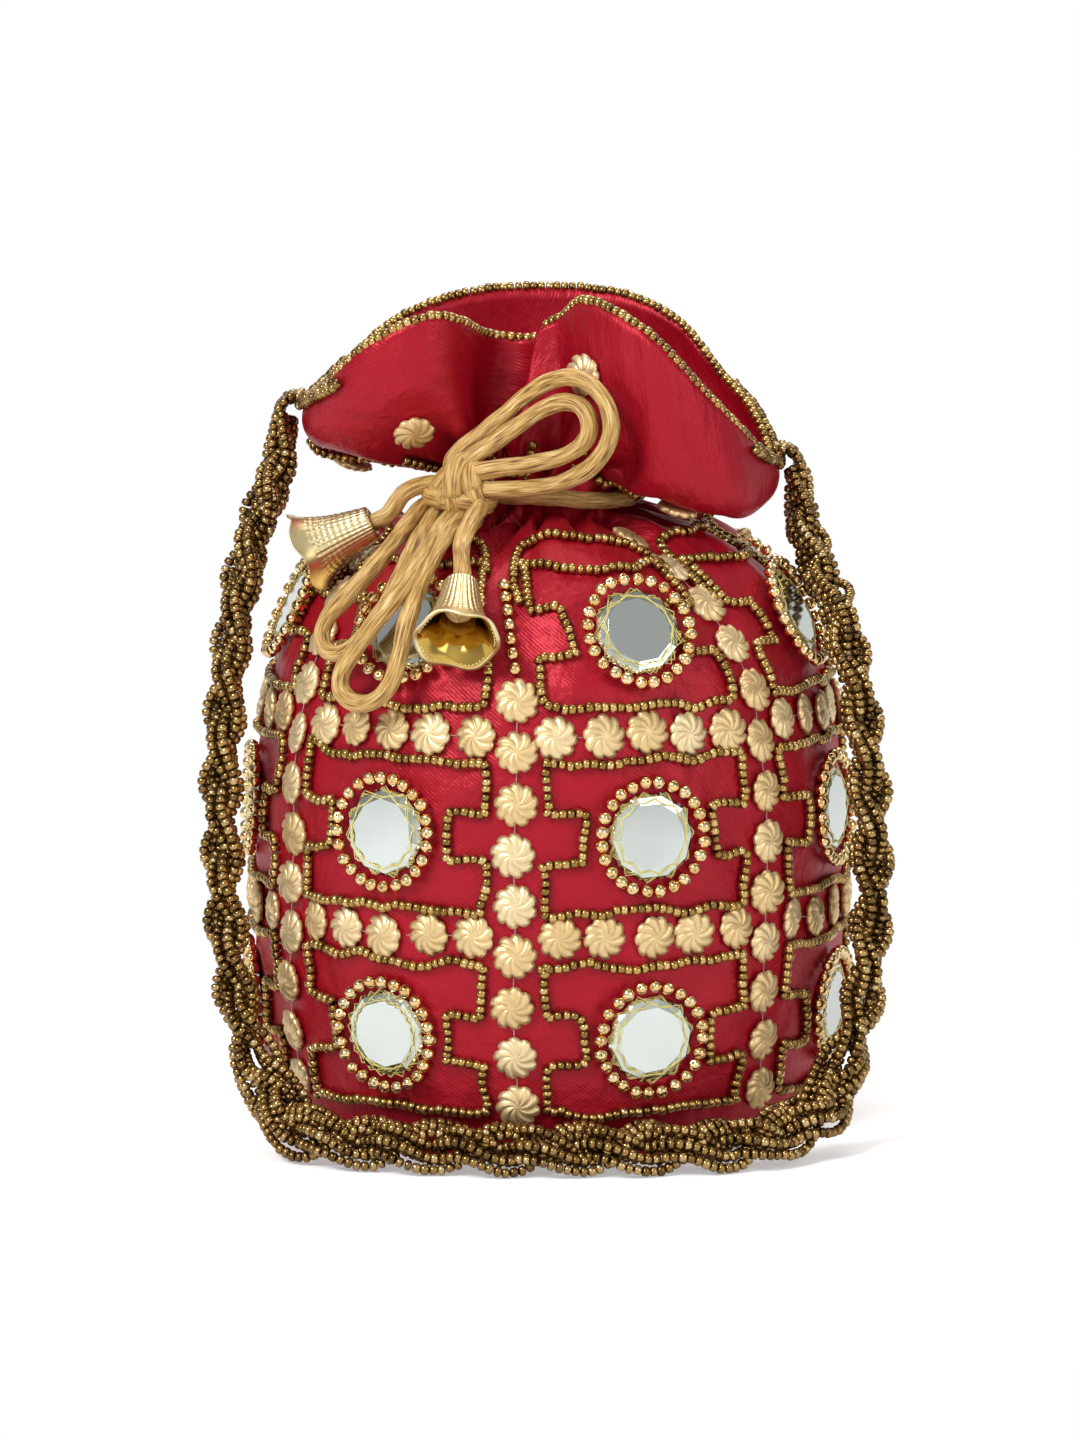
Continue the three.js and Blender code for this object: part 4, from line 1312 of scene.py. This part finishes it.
# %% [markdown]
# ## Drawstring
# The cord is a bundle of silky yarns laid round each other. A round tube would look like wire,
# so the section has rounded lobes that turn slowly along the cord. Each visible stretch is its
# own tube: the turn round the neck, four loops of the bow and two tails.

# %% A cord's tube
cord_diameter = 4.4 * mm
gap = 0.3 * mm


def cord_tube(name, line, diameter=cord_diameter, lobes=5, lay=42 * mm, closed=False, swell=None):
    """A lobed tube along a line. Returns the piece and the centres of its rings."""
    line = evenly(line, 0.75 * mm)
    if closed:
        line = line[:-1]
    run = run_of(line)
    ahead = np.roll(line, -1, 0) - np.roll(line, 1, 0)
    if not closed:
        ahead[0], ahead[-1] = line[1] - line[0], line[-1] - line[-2]
    ahead = unit(ahead)
    side = np.cross(ahead[0], (0.3, 0.2, 1))
    sides = []
    for tangent in ahead:
        side = unit(side - tangent * (side @ tangent))
        sides.append(side)
    sides = np.array(sides)
    ups = np.cross(ahead, sides)
    angles = np.linspace(0, turn, 20, endpoint=False)
    twist = turn * run[:, None] / lay
    lobe = np.abs(np.cos(lobes / 2 * (angles[None] - twist))) ** 0.7
    slack = 1 + 0.04 * np.sin(run / (5 * mm))[:, None] + 0.03 * np.sin(run / (2.3 * mm) + 1)[:, None]
    radius = diameter / 2 * (0.88 + 0.12 * lobe) * slack
    if swell is not None:
        radius = radius * swell(run)[:, None]
    rings = (line[:, None] + sides[:, None] * (radius * np.cos(angles))[..., None]
             + ups[:, None] * (radius * np.sin(angles))[..., None])
    made = loft(name, rings, run / (8 * mm), cord_silk, closed=closed)
    return made, line


waist_height = shoulder_height + neck_height / 2
waist_radius = neck_radius + gap + cord_diameter / 2
around = np.linspace(0, turn, 97)
waist_line = np.stack([waist_radius * np.cos(around), waist_radius * np.sin(around),
                       waist_height + 0.8 * mm * np.sin(3 * around + 1)], 1)
waist, _ = cord_tube("waist_cord", waist_line, closed=True)
sewn(waist, "gold_cord", "drawstring_waist")

# %% Bow loops
knot_azimuth = -40
knot_depth = 11.4 * mm
knot_radius = waist_radius + cord_diameter / 2 + gap + 0.5 * knot_depth + 1.5 * mm
knot_place = outward(knot_azimuth) * knot_radius + (0, 0, waist_height + 1.8 * mm)
knot_out = outward(knot_azimuth)
knot_across = np.cross((0, 0, 1), knot_out)
knot_up = np.array((0, 0, 1.0))

bow_loops = {
    "bow_loop_outer": [
        (-25.1, -24, 165.2), (-19.8, -24.4, 169.8), (-12.2, -24.8, 175.8), (-5.2, -25.6, 182.2),
        (2.4, -29.4, 187), (9.4, -34.8, 187.4), (14.5, -38.8, 183), (16.8, -40.2, 176.8),
        (15.3, -39.2, 170), (9.3, -35.6, 163.4), (1.2, -32.6, 160), (-6.9, -32.8, 159.2),
        (-14.7, -33.2, 159.1)],
    "bow_loop_inner": [
        (-21.8, -28.6, 164.9), (-16, -28, 168.6), (-9.6, -28, 173.1), (-2.6, -28.9, 178.2),
        (3.9, -31.9, 181.5), (9.2, -35.4, 180.9), (11.6, -37.1, 176.2), (9.6, -36, 170.5),
        (2.8, -33.2, 167), (-6.1, -32.2, 165.2), (-13.1, -32.2, 164.3), (-18.4, -32.3, 163.6)],
    "bow_loop_long": [
        (-30.9, -22.8, 154.2), (-34.4, -33, 151), (-38.8, -43.1, 146.1), (-44.4, -49.7, 139.9),
        (-51, -51.7, 132.9), (-56.1, -48.1, 126.7), (-55.8, -50.6, 120.3), (-49.5, -56.2, 120.5),
        (-43.3, -58.3, 127.3), (-38, -55.6, 136), (-33.2, -46.2, 145.5), (-29.2, -34.1, 151.1),
        (-28, -25.2, 152.4)],
    "bow_loop_round": [
        (-23.8, -29.6, 152.2), (-25.4, -38.8, 151.2), (-29, -51, 147), (-34, -61, 139.5),
        (-41.5, -65, 130), (-49, -62.5, 120), (-52, -60.5, 112.5), (-46.5, -65.5, 108.5),
        (-40, -69, 111.5), (-36.5, -69, 120), (-34.5, -66, 129.5), (-30, -58, 141),
        (-25, -46, 149), (-21, -30.8, 152.2)]}
# The loops lie a little closer to the knot than their packed tubes, and run on into it
drawn_in = 0.96
run_in = 0.34
for node, route in bow_loops.items():
    route = knot_place + (np.array(route) * mm - knot_place) * drawn_in
    into_knot = [end + (knot_place - end) * run_in for end in (route[0], route[-1])]
    line = eased(smooth_line([into_knot[0], *route, into_knot[1]]), passes=30)
    loop, path = cord_tube(node + "_cord", line)
    sewn(loop, "gold_cord", node)

# %% [markdown]
# ## Knot
# Where the cord is tied it wraps round itself: an upright band over the middle, one beside it
# that leans, a small one at each side, and a flat one across. Each is a short closed turn, drawn
# thicker than the cord because its yarns spread where it is pulled over the others.

# %% Bow knot
band_diameter = 5.2 * mm


def knot_turn(shift, deep, tall, lean, yaw=0.0, push=0.0):
    """An oval turn of cord, leaning in the knot's own plane."""
    angles = np.linspace(0, turn, 49)
    across = knot_across * math.cos(lean) + knot_up * math.sin(lean)
    up = knot_up * math.cos(lean) - knot_across * math.sin(lean)
    out = knot_out * math.cos(yaw) + across * math.sin(yaw)
    middle = knot_place + across * shift + knot_out * push
    return np.array([middle + out * deep * math.cos(a) + up * tall * math.sin(a) for a in angles])


turns = [knot_turn(2.0 * mm, 5.2 * mm, 7.6 * mm, 0.1, 0.1, 1.6 * mm),
         knot_turn(-2.6 * mm, 4.4 * mm, 6.0 * mm, -0.62, -0.2, 0.6 * mm),
         knot_turn(-5.8 * mm, 3.0 * mm, 3.6 * mm, 0.3, -0.4, -0.2 * mm),
         knot_turn(5.8 * mm, 4.0 * mm, 4.4 * mm, 0.3, 0.3, 0.4 * mm),
         knot_turn(-1.4 * mm, 5.4 * mm, 7.6 * mm, 1.45, 0.0, 1.2 * mm)]
for index, line in enumerate(turns):
    band, _ = cord_tube(f"bow_knot_turn_{index + 1}", line, diameter=band_diameter, closed=True)
    sewn(band, "gold_cord", *(["bow_knot"] if index == 0 else []))

# %% [markdown]
# ## Bells
# Each end of the cord goes through a small bell and is knotted inside it. The bell is a cup
# pressed with a basket weave, with a smooth lip of five petals edged with dots, and a polished
# inside. The weave is real relief: rows and columns of little pillows that take turns.

# %% Bell shape
bell_length = 19 * mm
bell_mouth = 10.5 * mm
bell_top = 4 * mm
bell_wall = 1 * mm
bell_petals = 5
petal_depth = 1.6 * mm
bell_hole = cord_diameter / 2 + gap
bell_sides = 150
skin_rings, lining_rings = 64, 24
weave_columns, weave_rows = 15, 13


def bell_outline(share):
    """Radius and height of the bell's outside, from the small end to the mouth."""
    controls = ((bell_top, 0), (bell_top + 1.5 * mm, 0.45 * bell_length),
                (0.62 * bell_mouth, 0.72 * bell_length), (bell_mouth, bell_length))
    weights = ((1 - share) ** 3, 3 * share * (1 - share) ** 2, 3 * share**2 * (1 - share), share**3)
    return [sum(w * c[k] for w, c in zip(weights, controls)) for k in (0, 1)]


def bell_rows(inside):
    """Rings of the bell's outside, woven, or of its inside, smooth."""
    angles = np.linspace(0, turn, bell_sides, endpoint=False)
    rows = []
    for share in np.linspace(0, 1, lining_rings if inside else skin_rings):
        radius, height = bell_outline(share)
        petal = max(0, height / bell_length - 0.6) / 0.4
        wave = petal_depth * petal**2 * 0.5 * (np.cos(bell_petals * angles) - 1)
        if inside:
            radius = radius - bell_wall + 0 * angles
            height = height + 1.2 * bell_wall * (1 - height / bell_length)
        else:
            column = np.abs(np.sin(weave_columns * angles)) ** 0.5
            row = abs(math.sin(weave_rows * math.pi * share)) ** 0.5
            fade = 1 - smoothstep(0.70, 0.80, share)
            radius = radius + 0.3 * mm * (column * row - 0.5) * fade
        rows.append(np.stack([radius * np.cos(angles), radius * np.sin(angles),
                              height + wave], -1))
    return rows


def towards(way):
    """Turns +Z to a direction, by the shortest turn."""
    quaternion = Vector((0, 0, 1)).rotation_difference(Vector(way))
    return np.array(quaternion.to_matrix())


def make_bell(label, start, way):
    matrix = towards(way)
    place = lambda rows: np.array(rows) @ matrix.T + start
    skin_rows = bell_rows(False)
    lining_rows = bell_rows(True)[::-1]
    angles = np.linspace(0, turn, bell_sides, endpoint=False)
    hole = [np.stack([np.cos(angles) * bell_hole, np.sin(angles) * bell_hole, 0 * angles + z], -1)
            for z in (1.2 * bell_wall, 0)]
    rings = place(skin_rows + lining_rows + hole)
    bell = loft(label + "_bell_cup", rings, np.linspace(0, 1, len(rings)), bell_skin, closed=True)
    bell.data.materials.append(bell_lining)
    first_inside = len(skin_rows) * bell_sides
    past_inside = first_inside + (len(lining_rows) + len(hole)) * bell_sides
    for face in bell.data.polygons:
        face.material_index = int(first_inside <= face.index < past_inside)
    dots = []
    for petal in range(bell_petals):
        for k in range(-3, 4):
            angle = turn * (petal + 0.085 * k) / bell_petals
            radius, height = bell_outline(0.965)
            wave = petal_depth * 0.92 * 0.5 * (math.cos(bell_petals * angle) - 1)
            point = np.array((math.cos(angle) * (radius - bell_wall), math.sin(angle)
                              * (radius - bell_wall), height + wave))
            dots.append(point)
    dots = np.array(dots)
    facing = unit(np.stack([-dots[:, 0], -dots[:, 1], 0.006 + 0 * dots[:, 0]], 1))
    studs = points_object(label + "_bell_dots", dots @ matrix.T + start, facing @ matrix.T)
    studs = run_tree(studs, seated, Shape=dot, Uneven=0.0, Seed=5, Material=bell_skin)
    return bell, studs


print("bell", round(bell_length / mm), "mm long")

# %% Tails and bells
end_knot_diameter = 6.6 * mm
tails = {
    "side": ((-43, -26, 150.5), (-0.9, 0.1, -0.42),
             [(-26.4, -23.2, 159.8), (-30.5, -24, 159.3), (-35.5, -26, 157.5)]),
    "front": ((-21, -61.5, 139.5), (-0.05, -0.75, -0.65),
              [(-16.6, -33.9, 155), (-18.6, -41.4, 152.8), (-21, -48, 147.5)])}
for label, (start, way, route) in tails.items():
    start, way = np.array(start) * mm, unit(np.array(way))
    inside = [start + way * distance * mm for distance in (-4, 0, 4, 8, 11.5)]
    line = smooth_line(np.vstack([np.array(route) * mm, inside]))
    length = run_of(line)[-1]

    def swell(run, length=length):
        """The tail's end swells into its knot."""
        close = np.exp(-((length - 3.2 * mm - run) / (2.4 * mm)) ** 4)
        tip = np.sqrt(np.clip((length - run) / (1.6 * mm), 0.02, 1))
        return (1 + (end_knot_diameter / cord_diameter - 1) * close) * tip

    tail, path = cord_tube(label + "_tail_cord", line, swell=swell)
    sewn(tail, "gold_cord", label + "_tail")
    bell, studs = make_bell(label, start, way)
    sewn(bell, "gold_bell", label + "_bell")
    sewn(studs, "gold_bell")

# %% [markdown]
# ## The plaited handle
# Twelve strings of seed beads, in three plies of four, are plaited flat. The rule of a plait is
# short: every ply swings from side to side once a turn and from front to back twice, a third of
# a turn behind the ply before it. The `plait` tree does just that to the handle's middle line,
# then lays the four strings of the ply side by side, each a little slack, and threads the
# beads.

# %% The handle's middle line
plait_rise = 7.0 * mm
bunch_radius = 5.6 * mm
bunch_length = 8.5 * mm
left_hinge = np.array(frame["joints"][0]["pos_m"])
right_hinge = np.array((0.925 * frill_half_width + gap + 0.5 * bunch_length + 1.3 * mm, 0,
                        neck_top + 0.12 * frill_height))
r, h = belly_radius, shoulder_height
handle_points = np.array([
    left_hinge + (0, -1.2 * mm, -bunch_radius - 3 * gap + 2 * mm),
    left_hinge + (-1.5 * mm, -4 * mm, -16 * mm),
    (-r + 1.5 * mm, -10 * mm, 0.98 * h - 2 * mm),
    (-r - 3.5 * mm, -20 * mm, 0.82 * h),
    (-r - 6 * mm, -29 * mm, 0.66 * h),
    (-r - 6.5 * mm, -34 * mm, 0.50 * h),
    (-r - 5.5 * mm, -39 * mm, 0.35 * h),
    (-r - 1.5 * mm, -46 * mm, 0.20 * h),
    (-r + 7 * mm, -56 * mm, 0.085 * h),
    (-0.78 * r, -0.92 * r, plait_rise + 0.6 * mm),
    (-0.52 * r, -1.03 * r, plait_rise),
    (-0.22 * r, -1.09 * r, plait_rise),
    (0.08 * r, -1.10 * r, plait_rise),
    (0.40 * r, -1.07 * r, plait_rise),
    (0.70 * r, -0.98 * r, plait_rise + 0.6 * mm),
    (0.90 * r, -0.82 * r, 0.085 * h),
    (r + 1.5 * mm, -49 * mm, 0.20 * h),
    (r + 5 * mm, -42 * mm, 0.35 * h),
    (r + 5 * mm, -38 * mm, 0.50 * h),
    (r + 3 * mm, -34 * mm, 0.66 * h),
    (r - 2 * mm, -26 * mm, 0.82 * h),
    right_hinge + (4.5 * mm, -13 * mm, -26 * mm),
    right_hinge + (1 * mm, -4.5 * mm, -14 * mm),
    right_hinge + (0, -1.2 * mm, -bunch_radius - 3 * gap + 2 * mm)])
middle_line = evenly(smooth_line(handle_points), 2 * mm)
handle_length = run_of(middle_line)[-1]


def flat_side(points):
    """Across the plait's thickness: outwards on the legs, upwards where it lies on the floor."""
    radial = unit(points * (1, 1, 0))
    lying = 1 - smoothstep(4 * mm, 40 * mm, points[:, 2])[:, None]
    thin = radial * (1 - 0.6 * lying) + np.array((0, 0, 0.85)) * lying
    ahead = unit(np.gradient(points, axis=0))
    thin -= ahead * (thin * ahead).sum(1, keepdims=True)
    return unit(thin)


print("handle", round(handle_length / mm), "mm from end to end")

# %% The plait tree
strings = 4
nodes, given = new_tree("plait", {
    "Turns": ("Float", 9.5), "Swing": ("Float", 3.9 * mm), "Depth": ("Float", 2.4 * mm),
    "Ply": ("Float", 0.0), "Spacing": ("Float", 1.9 * mm), "Slack": ("Float", 0.22 * mm),
    **bead_sizes})
middle = nodes.add("GeometryNodeMeshToCurve", values={"Mesh": given["Geometry"]})
middle = nodes.add("GeometryNodeResampleCurve", {"mode": "COUNT"},
                   {"Curve": middle, "Count": 900})
share = nodes.add("GeometryNodeSplineParameter", out="Factor")
thin = nodes.add("GeometryNodeInputNamedAttribute", {"data_type": "FLOAT_VECTOR"},
                 {"Name": "thin"}, out="Attribute")
tangent = nodes.add("GeometryNodeInputTangent")
wide = nodes.vector("NORMALIZE", nodes.vector("CROSS_PRODUCT", tangent, thin))
ends = nodes.math("MINIMUM", 1.0, 0.6 + nodes.math("MINIMUM", share, 1 - share) * 14)
phase = (given["Turns"] * share + given["Ply"] * (1 / 3)) * turn
sideways = nodes.scaled(wide, nodes.math("SINE", phase) * given["Swing"] * ends)
inwards = nodes.scaled(thin, nodes.math("SINE", phase * 2) * given["Depth"] * ends)
ply = nodes.add("GeometryNodeSetPosition", values={
    "Geometry": middle, "Offset": nodes.vector("ADD", sideways, inwards)})
flat = nodes.vector("NORMALIZE", nodes.vector("CROSS_PRODUCT", tangent, wide))
laid = []
for string in range(strings):
    place = string - (strings - 1) / 2
    wander = nodes.math("SINE", share * (turn * (19 + 3 * string)) + 2.1 * string + given["Ply"])
    roll = nodes.math("SINE", phase + 0.9) * 0.5
    shift = (given["Spacing"] * place + wander * given["Slack"]) * ends
    across = nodes.scaled(wide, shift * nodes.math("COSINE", roll))
    lift = given["Spacing"] * (0.5 if string % 2 else -0.5) + wander * given["Slack"] * 0.6
    through = nodes.scaled(flat, shift * nodes.math("SINE", roll) + lift * ends)
    laid.append(nodes.add("GeometryNodeSetPosition", values={
        "Geometry": ply, "Offset": nodes.vector("ADD", across, through)}))
joined = nodes.add("GeometryNodeJoinGeometry", values={"Geometry": laid})
beads = thread_beads(nodes, joined, given["Bead"], given["Pitch"], given["Askew"],
                     given["Uneven"], given["Seed"])
plait = close_tree(nodes, beads, given["Material"])
print("plait tree has", len(plait.nodes), "nodes")

# %% Three plies
for ply in range(3):
    made = lines_object(f"plait_ply_{ply + 1}", [middle_line])
    thin = made.data.attributes.new("thin", "FLOAT_VECTOR", "POINT")
    thin_side = flat_side(middle_line)
    thin.data.foreach_set("vector", thin_side.astype(np.float32).ravel())
    made = run_tree(made, plait, Ply=float(ply), Bead=seed_bead, Pitch=2.0 * mm,
                    Askew=0.08 * mm, Uneven=0.13, Seed=200 + 10 * ply, Material=bronze)
    sewn(made, "bronze_beads", f"handle_ply_{ply + 1}", body="handle")

# %% [markdown]
# ## Where the handle is sewn on
# At each corner of the frill the strings are stitched down and drape over the edge before they
# are plaited. Nine short strings, side by side and one over another, make that bunch.

# %% Bunches
hinge_line = unit(right_hinge - left_hinge)
for label, place in (("left", left_hinge), ("right", right_hinge)):
    across = unit(np.cross(hinge_line, (0, 1, 0)))
    forward = np.cross(across, hinge_line)
    bagward = hinge_line if label == "left" else -hinge_line
    draped = []
    for k in range(9):
        aside = forward * ((k % 5 - 2) * 2.3 + (1.1 if k > 4 else 0)) * mm
        high = 1.0 if k < 5 else 0.6
        draped.append(smooth_line([
            place + bagward * x * mm + across * y * mm + aside * narrow
            for x, y, narrow in ((7, 0.6, 0.5), (4.2, 1.7 * high, 0.8), (1.6, 1.5 * high, 1.0),
                                 (-0.8 * high, -0.8, 1.0), (-1.8 * high, -4.2, 1.0),
                                 (-2.0 * high, -8, 0.9), (-1.8 * high, -12.5, 0.8))]))
    strung(f"bunch_{label}", draped, 1.95 * mm, 0.2 * mm, 300, bronze, f"handle_bunch_{label}",
           body="handle")

# %% [markdown]
# The strings' ends are sewn along the rim on both sides of each corner, so for a finger's
# breadth the rim carries a second and a third string.

# %% Strings sewn along the corners
corner_strings = []
for begin, end, rises in ((246, 290, (0.985, 0.96)), (262, 292, (0.99, 0.93)),
                          (240, 280, (0.99, 0.95)), (64, 92, (0.97, 0.985)),
                          (76, 104, (0.985, 0.94)), (84, 116, (0.95, 0.985))):
    places = np.stack([np.linspace(begin, end, 30), np.linspace(*rises, 30)], 1)
    corner_strings.append(on_frill(places, lift=1.0 * mm))
strung("corner_strings", corner_strings, seed_pitch, 0.2 * mm, 320, bronze)

# %% [markdown]
# ## Loose threads
# Beside the knot a few red threads of the cloth have frayed out of the drawstring's channel.

# %% Frayed threads
frays = []
for k in range(14):
    start = np.array((-15 + random.uniform(-4, 4), -24, 152)) * mm
    line = [start]
    heading = np.array((random.uniform(-0.6, 0.8), -0.9, random.uniform(-0.7, 0.2)))
    for step in range(12):
        heading = unit(heading + random.normal(0, 0.45, 3) + (0, 0, -0.12))
        line.append(line[-1] + heading * 0.9 * mm)
    frays.append(line)
stitched("frayed_threads", frays, 0.1 * mm, red_thread, "red_satin")

# %% Print the sizes and finish
low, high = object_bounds()
print("visual model", [round(v / mm, 1) for v in (high - low)], "mm")
